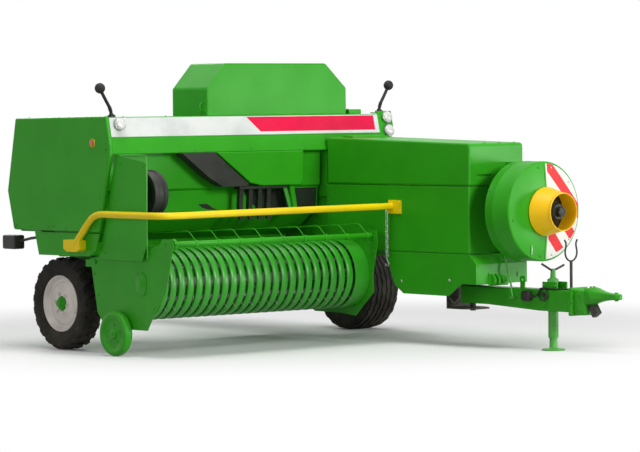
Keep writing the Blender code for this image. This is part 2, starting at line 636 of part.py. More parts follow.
def add_hoods():
    """The twine box with its bulging side hood, the side skirt, the guard panel and the tall hood."""
    low = 0.8123
    box = bevelled(block((DECK_RIGHT, 0.780), (DECK_REAR + GAP, 0.335), (low, DECK_TOP - 0.003)), 0.010)
    add_piece("twine_box", box, "green")

    outline = [(0.333, 1.592), (0.435, 1.090), (0.367, 0.823), (-0.600, 0.823), (-0.644, 0.971),
               (-0.735, 1.335), (-0.735, 1.410), (-0.696, 1.603)]
    hood = bevelled(extruded(outline, "X", HOOD_SIDE, DECK_RIGHT - GAP), 0.014, 3)
    add_piece("side_hood", hood, "green")
    reflector = rod("X", (-0.552, 1.423), 0.024, HOOD_SIDE - 0.008, HOOD_SIDE - GAP, 16)
    add_piece("hood_reflector", reflector, "red")

    edge = HOOD_SIDE + 0.010
    skirt = extruded([(0.130, 0.814), (0.086, 0.656), (-0.481, 0.659), (-0.560, 0.700),
                      (-0.600, 0.814)], "X", edge, edge + SHEET)
    shelf = block((edge, 0.090), (-0.050, 0.100), (low - GAP - SHEET, low - GAP))
    add_piece("side_skirt", union(skirt, shelf), "green")
    lamp_x = edge + SHEET + GAP + 0.010
    lamp_arm = piped([(lamp_x, 0.060, 0.780), (lamp_x, 0.200, 0.765), (lamp_x, 0.330, 0.742)],
                     0.010, 8)
    lamp_box = bevelled(block((edge - 0.045, edge + 0.050), (0.315, 0.455), (0.688, 0.785)), 0.012)
    add_piece("rear_lamp", union(lamp_arm, lamp_box), "dark")

    side = HOOD_SIDE + 0.040
    panel = extruded([(-0.744, 1.3447), (-1.060, 1.298), (-1.085, 1.280), (-1.070, 0.752),
                      (-1.020, 0.640), (-0.550, 0.642), (-0.560, 0.700), (-0.609, 0.815),
                      (-0.653, 0.966), (-0.744, 1.330)], "X", side, side + SHEET)
    top = DECK_LOW - GAP
    tab = block((side, 0.050), (-0.800, -0.745), (top - SHEET, top))
    foot = block((DECK_RIGHT + 0.002, 0.050), (-0.800, -0.600), (top - SHEET, top))
    add_piece("side_guard", union(panel, tab, foot), "green")

    bottom = DECK_TOP + GAP
    front, rear = -0.520, -0.130
    low = bottom - 0.030
    face = [(0.820, low), (0.820, 1.785), (0.985, 1.960), (1.915, 1.960), (2.110, 1.785),
            (2.110, low)]
    wall = 0.005
    core = [(0.820 + wall, bottom - 0.1), (0.820 + wall, 1.785 - wall), (0.985 + wall, 1.960 - wall),
            (1.915 - wall, 1.960 - wall), (2.110 - wall, 1.785 - wall), (2.110 - wall, bottom - 0.1)]
    under = block((0.7, 2.3), (front - 0.1, rear + 0.1), (low - 0.1, bottom))
    hood = cut(bevelled(extruded(face, "Y", front, rear), 0.012),
               extruded(core, "Y", front + wall, rear - wall), under)
    add_piece("tall_hood", hood, "green", "tall_hood")


def add_feeder():
    """The closed feeder case, its floor, the cover and guides over the packers, and the pulley."""
    top = DECK_LOW - GAP
    case_left = CASE_RIGHT - 0.003
    case = extruded([(-0.585, top), (-0.575, 1.100), (-0.553, 1.085), (-0.540, 0.940), (-0.360, 0.800),
                     (-0.200, 0.740), (-0.170, 0.6485), (-0.110, 0.6485), (-0.110, top)],
                    "X", DECK_RIGHT, case_left)
    floor = bent_sheet([(-0.560, 0.712), (-0.500, 0.700), (-0.330, 0.655), (-0.300, CHAMBER_LOW),
                        (-0.050, CHAMBER_LOW)], 0.008, "X",
                       RIGHT_WHEEL_X + RIGHT_TYRE_WIDTH / 2 + 0.016, case_left)
    add_piece("feeder_floor", floor, "green")

    front, rear = -0.700, -0.586
    cover = extruded([(0.754, top), (0.921, 1.224), (1.056, 1.128), (1.162, 1.107), (1.517, 1.106),
                      (1.537, 1.135), (1.540, top)], "Y", front, rear)
    strut = extruded([(1.440, 1.120), (1.480, 1.120), (1.520, 0.900), (1.485, 0.900)],
                     "Y", -0.660, -0.640)
    add_piece("feeder_cover", union(bevelled(cover, 0.006), strut), "green")
    guide = [(0.450, top), (0.690, 1.170), (0.810, 1.107), (1.020, 1.107), (1.044, 1.122),
             (0.911, 1.216), (0.738, top)]
    fins = [extruded(guide, "Y", y, y + 0.010) for y in (-0.696, -0.672, -0.648, -0.624)]
    tie = extruded([(0.520, top), (0.720, 1.190), (0.820, 1.125), (1.000, 1.125), (0.900, 1.205),
                    (0.700, top)], "Y", -0.690, rear)
    add_piece("feeder_guides", union(tie, *fins), "dark")

    head = block((0.970, 1.400), (-0.680, -0.620), (1.086, 1.1057))
    arms = []
    for x in (0.985, 1.070, 1.155, 1.235):
        arms.append(extruded([(-0.665, 1.090), (-0.635, 1.090), (-0.625, 0.960), (-0.640, 0.880),
                              (-0.660, 0.870), (-0.655, 0.960)], "X", x, x + 0.034))
    add_piece("packer_forks", union(head, *arms), "dark")
    (x, y, z) = PIVOTS["feeder_pulley"][1]
    bore = running_bore(0.018, 24)
    drum = turned([(x - 0.057, bore), (x - 0.057, 0.040), (x - 0.040, 0.045), (x - 0.040, 0.120),
                   (x - 0.057, 0.128), (x - 0.057, 0.156), (x - 0.050, 0.160), (x + 0.050, 0.160),
                   (x + 0.057, 0.156), (x + 0.057, bore)], "X", (y, z), 24, closed=True)
    add_piece("feeder_pulley", drum, "dark", "feeder_pulley")
    plate = extruded([(y - 0.035, z - 0.035), (y + 0.035, z - 0.035), (-0.650, 1.105),
                      (-0.560, 1.105), (-0.560, 1.165), (y - 0.035, 1.140)],
                     "X", x + 0.070, x + 0.082)
    pin = rod("X", (y, z), 0.018, x - 0.062, x + 0.080, 24, 7.5)
    add_piece("feeder_case", union(case, plate, pin), "green")


def add_guard_rail():
    """The yellow rail before the pickup, with the lift chain that hangs from it."""
    radius = 0.023
    x = RIGHT_EDGE + radius
    path = [(x, -0.375, 0.735), (x, -0.560, 0.915)]
    path += [(x, -0.560 - 0.09 * math.sin(t), 0.915 + 0.035 * (1 - math.cos(t)))
             for t in (0.5, 0.9, 1.3)]
    path += [(x, -1.240, 0.947), (x + 0.027, -1.303, 0.947), (x + 0.090, -1.330, 0.947),
             (CASE_RIGHT - 0.003, -1.330, 0.957)]
    rail = piped(path, radius, 12)
    plate = block((CASE_RIGHT - 0.008, CASE_RIGHT - GAP), (-1.430, -1.300), (0.905, 1.000))
    foot = bevelled(block((x - 0.020, HOOD_SIDE + 0.010 - GAP), (-0.450, -0.300), (0.690, 0.752)), 0.006)
    add_piece("guard_rail", union(rail, plate, foot), "yellow")

    links = []
    top = 0.9305
    for i in range(9):
        z = top - 0.020 - 0.036 * i
        outer = ring((0.0, 0.0), 0.011, 8, 22.5)
        outer = [(a, b + (0.013 if b > 0 else -0.013)) for a, b in outer]
        inner = [(a * 0.5, b * 0.72) for a, b in outer]
        link = cut(extruded(outer, "Y", -0.003, 0.003), extruded(inner, "Y", -0.01, 0.01))
        if i % 2:
            turned_to(link, "Z", math.radians(90), (0, 0, 0))
        bmesh.ops.translate(link, vec=(1.750, -1.330, z), verts=link.verts)
        links.append(link)
    add_piece("lift_chain", union(*links), "steel")


def add_pickup():
    """The pickup: two side plates, the stripper bands, the tined reel, gauge wheel and wind guard."""
    right, left = PICKUP_RIGHT, PICKUP_LEFT
    gauge = PIVOTS["gauge_wheel"][1]
    outline = [(-0.417, 0.646), (-0.490, 0.285), (-0.578, 0.180), (gauge[1] + 0.035, 0.180),
               (gauge[1] + 0.025, gauge[2] - 0.020), (gauge[1] - 0.025, gauge[2] - 0.020),
               (gauge[1] - 0.035, 0.180), (-1.030, 0.180), (-1.085, 0.262), (-1.232, 0.440),
               (-1.317, 0.757), (-1.290, 0.790), (-1.200, 0.790), (-1.160, 0.742)]
    shafts = (((REEL_Y, REEL_Z), 0.018), ((LIFT_Y, LIFT_Z), 0.015), ((GUARD_Y, GUARD_Z), 0.010))
    bores = [bore_at("X", centre, radius, right - 0.1, right + 0.1) for centre, radius in shafts]
    plate = cut(extruded(outline, "X", right, right + SHEET), *bores)
    pin = rod("X", (gauge[1], gauge[2]), 0.011, gauge[0] - 0.0325 - 0.004, right + SHEET / 2,
              24, 7.5)
    add_piece("pickup_right_plate", union(plate, pin), "green", "pickup")
    outline = [(-0.417, 0.646), (-0.500, 0.285), (-0.620, 0.205), (-0.870, 0.205), (-1.050, 0.190),
               (-1.240, 0.360), (-1.235, 0.480), (-1.285, 0.700), (-1.275, 0.790), (-1.195, 0.790),
               (-1.150, 0.742)]
    bores = [bore_at("X", centre, radius, left - 0.1, left + 0.1) for centre, radius in shafts]
    add_piece("pickup_left_plate", cut(extruded(outline, "X", left, left + SHEET), *bores), "green",
              "pickup")

    first = right + SHEET + GAP
    last = left - GAP
    rear = -0.620
    line = [(rear, REEL_Z + BAND_RADIUS)] + arc((REEL_Y, REEL_Z), BAND_RADIUS, 90, 270, 10)
    line += [(rear, REEL_Z - BAND_RADIUS)]
    width = BAND_PITCH - BAND_SLOT
    low = -0.040 - width / 2
    spans = [(first, low - BAND_SLOT)]
    spans += [(low + BAND_PITCH * i, low + BAND_PITCH * i + width) for i in range(BANDS)]
    spans += [(low + BAND_PITCH * BANDS, last)]
    bands = [bent_sheet(line, SHEET, "X", *span) for span in spans]
    beam = block((first, last), (rear - 0.020, rear + 0.020),
                 (REEL_Z - BAND_RADIUS - 0.004, REEL_Z + BAND_RADIUS + 0.004))
    add_piece("pickup_strippers", union(beam, *bands), "green", "pickup")

    shaft = rod("X", (REEL_Y, REEL_Z), 0.018, right - 0.008, left + 0.014, 16)
    core = rod("X", (REEL_Y, REEL_Z), 0.035, first + 0.010, last - 0.010, 12)
    parts = [core]
    reach = 0.150
    for quarter in range(4):
        turn = math.radians(45 + 90 * quarter)
        way = Vector((0.0, math.cos(turn), math.sin(turn)))
        side = Vector((0.0, -math.sin(turn), math.cos(turn)))
        centre = Vector((0.0, REEL_Y, REEL_Z))
        bar = centre + way * reach
        parts.append(rod("X", (bar.y, bar.z), 0.010, first + 0.012, last - 0.012, 6))
        for x in (first + 0.030, 0.790, last - 0.036):
            arm = extruded([(0.0, -0.014), (reach, -0.012), (reach, 0.012), (0.0, 0.014)], "X", x, x + 0.006)
            bmesh.ops.translate(arm, vec=(0, REEL_Y, REEL_Z), verts=arm.verts)
            parts.append(turned_to(arm, "X", turn, centre))
        for i in range(BANDS + 1):
            x = low - BAND_SLOT / 2 + BAND_PITCH * i
            base = bar + Vector((x, 0.0, 0.0)) - way * 0.004
            tip = centre + Vector((x, 0.0, 0.0)) + way * TINE_REACH - side * 0.022
            parts.append(piped([base, tip], 0.004, 3))
    add_piece("pickup_reel", union(shaft, *parts), "steel", "reel")

    half = 0.0325
    x, y, z = gauge
    bore = running_bore(0.011, 24)
    wheel = turned([(x - half, bore), (x - half, 0.030), (x - half * 0.5, 0.036),
                    (x - half * 0.4, 0.095), (x - half * 0.9, 0.112), (x - half, 0.128),
                    (x - half * 0.72, 0.145), (x - half * 0.3, GAUGE_RADIUS),
                    (x + half * 0.3, GAUGE_RADIUS), (x + half * 0.72, 0.145), (x + half, 0.128),
                    (x + half * 0.9, 0.112), (x + half * 0.4, 0.095), (x + half * 0.5, 0.036),
                    (x + half, 0.030), (x + half, bore)], "X", (y, z), 24, closed=True)
    add_piece("gauge_wheel", wheel, "green", "gauge_wheel")

    tube = rod("X", (GUARD_Y, GUARD_Z), 0.019, -0.060, left - 0.008, 12)
    pins = rod("X", (GUARD_Y, GUARD_Z), 0.010, right - 0.006, left + 0.016, 16)
    collar = turned([(-0.075, 0.010), (-0.075, 0.036), (-0.050, 0.036), (-0.050, 0.010)],
                    "X", (GUARD_Y, GUARD_Z), 14, closed=True)
    tines = []
    for i in range(9):
        x = 0.130 + 0.190 * i
        tines.append(piped([(x, GUARD_Y, GUARD_Z), (x, -1.200, 0.795), (x, -1.150, 0.826),
                            (x, -1.080, 0.836), (x, -0.920, 0.834), (x, -0.750, 0.826)], 0.0045, 5))
    add_piece("wind_guard", union(tube, pins, collar, *tines), "green", "wind_guard")


def add_drive():
    """The gearbox, the flywheel with its clutch, the dished cover, the cone and the hazard board."""
    centre = (SHAFT_X, SHAFT_Z)
    body = bevelled(block((SHAFT_X - 0.110, SHAFT_X + 0.110), (COVER_REAR + 0.035, CASE_FRONT - GAP),
                          (SHAFT_Z - 0.110, SHAFT_Z + 0.110)), 0.012)
    bore = bore_at("Y", centre, 0.030, COVER_REAR, COVER_REAR + 0.060)
    add_piece("gearbox", cut(body, bore), "dark")

    shaft = rod("Y", centre, 0.030, CONE_END + 0.030, COVER_REAR + 0.055, 16)
    rim = COVER_RADIUS - 0.0475
    web = COVER_RADIUS - 0.1375
    wheel = turned([(COVER_REAR - 0.020, 0.0), (COVER_REAR - 0.020, 0.060), (COVER_REAR - 0.030, web),
                    (COVER_REAR - 0.010, web + 0.025), (COVER_REAR - 0.010, rim), (COVER_REAR - 0.080, rim),
                    (COVER_REAR - 0.080, web + 0.025), (COVER_REAR - 0.060, web), (COVER_REAR - 0.070, 0.060),
                    (COVER_REAR - 0.070, 0.0)], "Y", centre, 24)
    clutch = turned([(COVER_FRONT + 0.040, 0.0), (COVER_FRONT + 0.040, 0.080), (COVER_FRONT - 0.020, 0.080),
                     (COVER_FRONT - 0.025, 0.092), (COVER_FRONT - 0.060, 0.092), (COVER_FRONT - 0.065, 0.070),
                     (COVER_FRONT - 0.120, 0.055), (COVER_FRONT - 0.125, 0.0)], "Y", centre, 16)
    splines = [block((SHAFT_X - 0.005, SHAFT_X + 0.005), (CONE_END + 0.032, CONE_END + 0.070),
                     (SHAFT_Z, SHAFT_Z + 0.035)) for _ in range(6)]
    splines = [turned_to(tooth, "Y", math.radians(60 * i), (SHAFT_X, 0, SHAFT_Z))
               for i, tooth in enumerate(splines)]
    add_piece("flywheel", union(shaft, wheel, clutch, *splines), "green", "flywheel")

    skin = 0.006
    flat = 0.142
    rear, front = COVER_REAR, COVER_FRONT
    dish = front + 0.016
    shell = turned([(rear, COVER_RADIUS), (dish + 0.010, COVER_RADIUS), (dish + 0.003, COVER_RADIUS - 0.003),
                    (dish, COVER_RADIUS - 0.010), (front, flat), (front, 0.110),
                    (front + skin, 0.110), (front + skin, flat - 0.002), (dish + skin, COVER_RADIUS - 0.014),
                    (dish + skin + 0.006, COVER_RADIUS - skin), (rear, COVER_RADIUS - skin)],
                   "Y", centre, 32, closed=True)
    stays = []
    for degrees in (84, 62, -57):
        face = CASE_FRONT - GAP - (0.012 if degrees > 0 else 0.0)
        stay = block((COVER_RADIUS - 0.036, COVER_RADIUS - 0.002), (rear - 0.020, face), (-0.014, 0.014))
        turned_to(stay, "Y", -math.radians(degrees), (0, 0, 0))
        bmesh.ops.translate(stay, vec=(SHAFT_X, 0, SHAFT_Z), verts=stay.verts)
        stays.append(stay)
    add_piece("flywheel_cover", union(shell, *stays), "green")

    cone = turned([(front - GAP, 0.112), (front - GAP, 0.130), (front - 0.006, 0.130), (front - 0.020, 0.112),
                   (front - 0.090, 0.116), (CONE_END + 0.010, 0.128), (CONE_END, 0.134),
                   (CONE_END, 0.128), (CONE_END + 0.012, 0.122), (front - 0.090, 0.110),
                   (front - 0.022, 0.106), (front - 0.010, 0.106)], "Y", centre, 24, closed=True)
    add_piece("shaft_cone", cone, "yellow")
    edge = COVER_RADIUS - 0.014
    board = turned([(front - GAP, 0.142), (dish - 0.0008, edge), (dish - 0.0033, edge),
                    (front - 0.0030, 0.142)], "Y", centre, 32, closed=True)
    half = block((SHAFT_X - 1.0, SHAFT_X), (front - 0.1, front + 0.1), (SHAFT_Z - 1.0, SHAFT_Z + 1.0))
    add_piece("hazard_board", cut(board, half), "white")


def add_drawbar():
    """The swinging drawbar with its hitch, and the screw jack that stands in it."""
    def swung(shape):
        turned_to(shape, "Z", TONGUE_SWING, (0, 0, 0))
        bmesh.ops.translate(shape, vec=(TONGUE_X, TONGUE_Y, 0), verts=shape.verts)
        return shape

    half = TONGUE_WIDTH / 2
    end = TONGUE_LENGTH
    bar = extruded([(0.060, TONGUE_HIGH), (0.060, TONGUE_LOW + 0.024), (-0.200, TONGUE_LOW + 0.024),
                    (-0.700, TONGUE_LOW), (-end, TONGUE_LOW), (-end, TONGUE_HIGH)], "X", -half, half)
    bar = bevelled(bar, 0.008)
    eye = rod("Z", (0.0, 0.020), half, TONGUE_LOW + 0.024, TONGUE_HIGH, 20)
    flange = block((-half - 0.018, half + 0.018), (-end - 0.015, -end + 0.002),
                   (TONGUE_LOW - 0.022, TONGUE_HIGH + 0.022))
    bore = bore_at("Z", (0.0, 0.0), 0.020, TONGUE_LOW - 0.1, TONGUE_HIGH + 0.1)
    socket = rod("Z", (0.0, -JACK_ALONG), JACK_RADIUS + GAP, TONGUE_LOW - 0.1, TONGUE_HIGH + 0.1, 20)
    lug = block((-half + 0.004, -half + 0.014), (-0.560, -0.520), (TONGUE_HIGH - 0.010, TONGUE_HIGH + 0.040))
    loop = turned([(-half + 0.004, 0.013), (-half + 0.004, 0.027), (-half + 0.014, 0.027),
                   (-half + 0.014, 0.013)], "X", (-0.540, TONGUE_HIGH + 0.060), 16, closed=True)
    clamps = [block((x, x + 0.010), (-JACK_ALONG - 0.085, -JACK_ALONG + 0.050),
                    (TONGUE_HIGH - 0.010, TONGUE_HIGH + 0.052)) for x in (-0.052, 0.042)]
    add_piece("drawbar", swung(cut(union(bar, eye, flange, lug, loop, *clamps), bore, socket)), "green",
              "tongue")

    start = end + 0.015 + GAP
    nose = (TONGUE_Y - FRONT_EDGE - 0.030) / math.cos(TONGUE_SWING)
    box = bevelled(block((-0.052, 0.052), (-start - 0.100, -start), (0.250, 0.418)), 0.006)
    neck = start + 0.095
    run = nose - neck
    head = extruded([(-neck, 0.330), (-neck, 0.425), (-neck - 0.12 * run, 0.432), (-neck - 0.36 * run, 0.420),
                     (-neck - 0.60 * run, 0.402), (-nose, 0.400), (-nose, 0.362), (-neck - 0.62 * run, 0.352),
                     (-neck - 0.30 * run, 0.330)], "X", -0.026, 0.026)
    tip = rod("Z", (0.0, -nose), 0.030, 0.360, 0.400, 20, -90.0 - math.degrees(TONGUE_SWING))
    collar = turned([(-neck - 0.10 * run, 0.0), (-neck - 0.10 * run, 0.050), (-neck - 0.20 * run, 0.056),
                     (-neck - 0.34 * run, 0.054), (-neck - 0.42 * run, 0.040), (-neck - 0.42 * run, 0.0)],
                    "Y", (0.0, 0.380), 20)
    catch = turned_to(bevelled(block((-0.020, 0.020), (-0.030, 0.030), (-0.050, 0.050)), 0.005), "X",
                      math.radians(-32), (0, 0, 0))
    bmesh.ops.translate(catch, vec=(0.0, -neck - 0.16 * run, 0.295), verts=catch.verts)
    coupler = bevelled(block((-half - 0.040, -half - GAP), (-0.640, -0.560),
                             (TONGUE_HIGH - 0.085, TONGUE_HIGH - 0.010)), 0.010)
    add_piece("lamp_coupler", swung(coupler), "dark", "tongue")
    add_piece("hitch", swung(union(box, head, tip, collar, catch)), "green", "tongue")

    radius = JACK_RADIUS
    inner = running_bore(JACK_LEG_RADIUS, 20)
    tube = turned([(0.445, 0.0), (0.445, inner), (0.085, inner), (0.085, radius),
                   (0.452, radius), (0.452, radius + 0.004), (0.478, radius + 0.004), (0.486, 0.020),
                   (0.545, 0.016), (0.545, 0.0)], "Z", (0.0, -JACK_ALONG), 20)
    crank = piped([(-0.105, -JACK_ALONG, 0.584), (-0.016, -JACK_ALONG, 0.541), (0.0, -JACK_ALONG, 0.537),
                   (0.016, -JACK_ALONG, 0.541), (0.105, -JACK_ALONG, 0.570)], 0.008, 8)
    add_piece("jack_tube", swung(union(tube, crank)), "green", "tongue")
    leg = turned([(0.0, 0.0), (0.0, 0.076), (0.006, 0.080), (0.012, 0.074), (0.016, JACK_LEG_RADIUS),
                  (0.330, JACK_LEG_RADIUS), (0.330, 0.0)], "Z", (0.0, -JACK_ALONG), 20, phase=9.0)
    add_piece("jack_leg", swung(leg), "green", "jack_leg")

    along = end - 0.056
    post = rod("Z", (0.0, -along), 0.010, TONGUE_HIGH + GAP, 0.605, 10)
    fork = [(0.056 * math.sin(t), -along, 0.665 - 0.060 * math.cos(t))
            for t in [math.radians(a) for a in range(-110, 111, 22)]]
    fork = [(-0.060, -along, 0.748), (-0.047, -along, 0.722)] + fork
    fork += [(0.047, -along, 0.722), (0.060, -along, 0.748)]
    foot = rod("Z", (0.0, -along), 0.018, TONGUE_HIGH + GAP, TONGUE_HIGH + 0.012, 10)
    add_piece("shaft_fork", swung(union(post, piped(fork, 0.006, 8), foot)), "dark", "tongue")


def jack_place():
    """Where the jack stands once the drawbar is swung, in the layout frame."""
    return (TONGUE_X + JACK_ALONG * math.sin(TONGUE_SWING),
            TONGUE_Y - JACK_ALONG * math.cos(TONGUE_SWING), 0.300)


def main():
    clear_scene()
    PIVOTS["jack_leg"] = ("tongue", jack_place())
    add_joint_empties()
    add_wheels()
    add_frame()
    add_housing()
    add_chamber()
    add_deck()
    add_hoods()
    add_feeder()
    add_guard_rail()
    add_pickup()
    add_drive()
    add_drawbar()


main()
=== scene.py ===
"""Looks, camera and light for the towed square baler.

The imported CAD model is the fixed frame. This script gives its pieces their paint, rubber and
steel, puts finer meshes where a faceted solid is too coarse, and sets up the studio.
World units are metres, +Z is up and -Y points at the tractor.
"""

from __future__ import annotations

import json
import logging
import math
from dataclasses import dataclass, field
from enum import Enum
from typing import Callable, Iterable, Optional, Sequence

import bmesh
import bpy
import numpy as np
from mathutils import Matrix, Vector


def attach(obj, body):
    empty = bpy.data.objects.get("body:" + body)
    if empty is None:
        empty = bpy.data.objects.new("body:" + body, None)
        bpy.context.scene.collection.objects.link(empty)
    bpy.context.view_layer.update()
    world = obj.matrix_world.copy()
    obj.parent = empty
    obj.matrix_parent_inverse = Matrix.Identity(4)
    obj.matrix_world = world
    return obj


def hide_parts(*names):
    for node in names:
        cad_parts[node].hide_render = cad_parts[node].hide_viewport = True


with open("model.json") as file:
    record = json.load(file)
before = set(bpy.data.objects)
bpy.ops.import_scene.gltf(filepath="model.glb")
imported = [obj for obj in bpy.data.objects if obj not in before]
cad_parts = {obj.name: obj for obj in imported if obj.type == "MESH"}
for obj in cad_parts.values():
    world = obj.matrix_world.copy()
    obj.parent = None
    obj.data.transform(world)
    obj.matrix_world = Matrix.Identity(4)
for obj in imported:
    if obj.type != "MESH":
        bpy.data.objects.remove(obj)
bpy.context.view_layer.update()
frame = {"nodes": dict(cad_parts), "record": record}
LOG = logging.getLogger("baler")

Point = tuple[float, float, float]
Colour = tuple[float, float, float]
Outline = Sequence[tuple[float, float]]
Paint = Callable[["NodeTree", bpy.types.NodeSocket], object]

MERGE_DISTANCE = 1e-6
NEARLY_PARALLEL = 1e-3

# The machine's own directions: it faces -Y, and its left is +X.
FORWARD: Point = (0.0, -1.0, 0.0)
BACKWARD: Point = (0.0, 1.0, 0.0)
LEFTWARD: Point = (1.0, 0.0, 0.0)
RIGHTWARD: Point = (-1.0, 0.0, 0.0)
UPWARD: Point = (0.0, 0.0, 1.0)


class Axis(Enum):
    """A world axis, with the order that turns (along, a, b) into X, Y, Z."""

    X = (0, 1, 2)
    Y = (1, 0, 2)
    Z = (2, 0, 1)


def linear(hex_colour: str) -> Colour:
    """Linear RGB of a display colour, by the sRGB curve.

    Args:
        hex_colour: Six hexadecimal digits.

    Returns:
        The colour as three linear values.
    """
    values = [int(hex_colour[i:i + 2], 16) / 255.0 for i in (0, 2, 4)]
    return tuple(v / 12.92 if v <= 0.04045 else ((v + 0.055) / 1.055) ** 2.4 for v in values)


@dataclass(frozen=True)
class Finish:
    """One surface finish: its colours and how it wears."""

    name: str
    colour: Colour
    slot: str
    roughness: float = 0.3
    metallic: float = 0.0
    coat: float = 0.0
    shine: float = 0.5
    # Emission strength that makes a piece glow though it is no lamp: painted light.
    glow: float = 0.0
    worn: Colour = (0.30, 0.31, 0.30)
    wear: float = 0.25
    dust: float = 0.18
    grain_scale: float = 260.0
    grain_bump: float = 0.05
    mottle: float = 0.10
    round_edges: float = 0.003


class Finishes(Enum):
    """Every finish on the machine."""

    GREEN = Finish("green_paint", linear("32a718"), "green_paint", 0.30, shine=0.20, dust=0.07, mottle=0.05)
    YELLOW = Finish("yellow_paint", linear("ffdf0a"), "yellow_paint", 0.34, shine=0.3, dust=0.06, mottle=0.04)
    # The cone's finish glows faintly: painted light that brightens its shaded side.
    CONE = Finish("yellow_plastic", linear("ffc60c"), "yellow_paint", 0.36, shine=0.4, glow=0.16,
                  worn=linear("ffe98a"), wear=0.10, dust=0.04, mottle=0.03)
    SILVER = Finish("rim_paint", linear("e6dfd8"), "rim_paint", 0.38, 0.15, wear=0.15, dust=0.20)
    DARK = Finish("dark_metal", linear("1b1f1b"), "dark_metal", 0.48, 0.2, wear=0.35, dust=0.30)
    RUBBER = Finish("tyre_rubber", linear("1d1b1a"), "tyre_rubber", 0.78, shine=0.25, worn=linear("34312e"),
                    wear=0.25, dust=0.16, grain_scale=900.0, grain_bump=0.12)
    HOSE = Finish("black_rubber", linear("151515"), "black_rubber", 0.55, shine=0.35, worn=linear("2b2b2b"),
                  wear=0.2, dust=0.15, grain_scale=700.0)
    STEEL = Finish("bare_steel", linear("b9bcbc"), "bare_steel", 0.30, 0.95, worn=linear("dcdcdc"),
                   dust=0.10, grain_scale=500.0, grain_bump=0.04)
    IRON = Finish("cast_iron", linear("2c322c"), "dark_metal", 0.42, 0.5, worn=linear("8c938a"), wear=0.5,
                  dust=0.20, grain_scale=500.0)
    # A lighter, glossier copy of the green paint that paints a highlight on round bars and edges; its slot is
    # still the green paint's.
    GREEN_PAINTED_HIGHLIGHT = Finish("green_tube", linear("4cae3e"), "green_paint", 0.34, shine=0.45, dust=0.05, mottle=0.04)
    # A darker, glossier copy of the green paint on the stripper bands: the darker base is painted shade, and
    # the gloss is the bands' own.
    BAND = Finish("green_band", linear("2c9c18"), "green_paint", 0.26, shine=0.50, dust=0.05, mottle=0.05)
    WHITE = Finish("white_film", linear("ebedeb"), "white_film", 0.32, shine=0.25, worn=linear("d8d8d2"),
                   wear=0.1, dust=0.12)
    LENS = Finish("lamp_lens", linear("e8e8e4"), "lamp_lens", 0.12, coat=0.8, worn=linear("ffffff"),
                  wear=0.0, dust=0.05, grain_bump=0.0)
    RED_LENS = Finish("red_lens", linear("d8150f"), "red_lens", 0.14, coat=0.8, worn=linear("ff4030"),
                      wear=0.0, dust=0.05, grain_bump=0.0)


class NodeTree:
    """A thin hand for building shader trees, one link at a time."""

    def __init__(self, tree: bpy.types.NodeTree) -> None:
        """Takes the tree that the nodes go into."""
        self.tree = tree

    def add(self, kind: str, **settings: object) -> bpy.types.Node:
        """A new node.

        Args:
            kind: The node's Blender type.
            **settings: Attributes to set, and inputs as in_NAME.

        Returns:
            The node.
        """
        node = self.tree.nodes.new(kind)
        for key, value in settings.items():
            if key.startswith("in_"):
                node.inputs[key[3:].replace("_", " ")].default_value = value
            else:
                setattr(node, key, value)
        return node

    @staticmethod
    def fill(node: bpy.types.Node, **values: object) -> None:
        """Sets inputs of a node, each named with underscores for spaces."""
        for key, value in values.items():
            node.inputs[key.replace("_", " ")].default_value = value

    def seen(self) -> bpy.types.NodeSocket:
        """1 where the ray comes from the camera, a mirror or glass, and 0 for other rays."""
        paths = self.add("ShaderNodeLightPath")
        seen = self.math("MAXIMUM", paths.outputs["Is Camera Ray"], paths.outputs["Is Glossy Ray"])
        return self.math("MAXIMUM", seen, paths.outputs["Is Transmission Ray"])

    def link(self, source: bpy.types.NodeSocket, target: bpy.types.NodeSocket) -> None:
        """Links an output to an input."""
        self.tree.links.new(source, target)

    def math(self, operation: str, a: object, b: object = 0.0, clamp: bool = False) -> bpy.types.NodeSocket:
        """A math node's output.

        Args:
            operation: Blender's name for the operation.
            a: A socket or a number.
            b: A socket or a number.
            clamp: Whether to keep the result within 0 to 1.

        Returns:
            The output socket.
        """
        node = self.add("ShaderNodeMath", operation=operation, use_clamp=clamp)
        for socket, value in zip(node.inputs, (a, b)):
            if isinstance(value, bpy.types.NodeSocket):
                self.link(value, socket)
            else:
                socket.default_value = value
        return node.outputs[0]

    def ramp(self, source: bpy.types.NodeSocket, low: float, high: float) -> bpy.types.NodeSocket:
        """The source mapped from low..high to 0..1, smoothly and clamped."""
        node = self.add("ShaderNodeMapRange", interpolation_type="SMOOTHSTEP")
        node.inputs["From Min"].default_value = low
        node.inputs["From Max"].default_value = high
        self.link(source, node.inputs["Value"])
        return node.outputs["Result"]

    def mix(self, factor: object, a: object, b: object) -> bpy.types.NodeSocket:
        """A colour mix of a and b by factor, each a socket, a number or a colour."""
        node = self.add("ShaderNodeMix", data_type="RGBA")
        for index, value in ((0, factor), (6, a), (7, b)):
            socket = node.inputs[index]
            if isinstance(value, bpy.types.NodeSocket):
                self.link(value, socket)
            elif index == 0:
                socket.default_value = value
            else:
                socket.default_value = (*value, 1.0)
        return node.outputs[2]

    def noise(self, coordinates: bpy.types.NodeSocket, scale: float, detail: float = 3.0,
              roughness: float = 0.55) -> bpy.types.NodeSocket:
        """A noise texture's value."""
        node = self.add("ShaderNodeTexNoise", in_Scale=scale, in_Detail=detail, in_Roughness=roughness)
        self.link(coordinates, node.inputs["Vector"])
        return node.outputs[0]


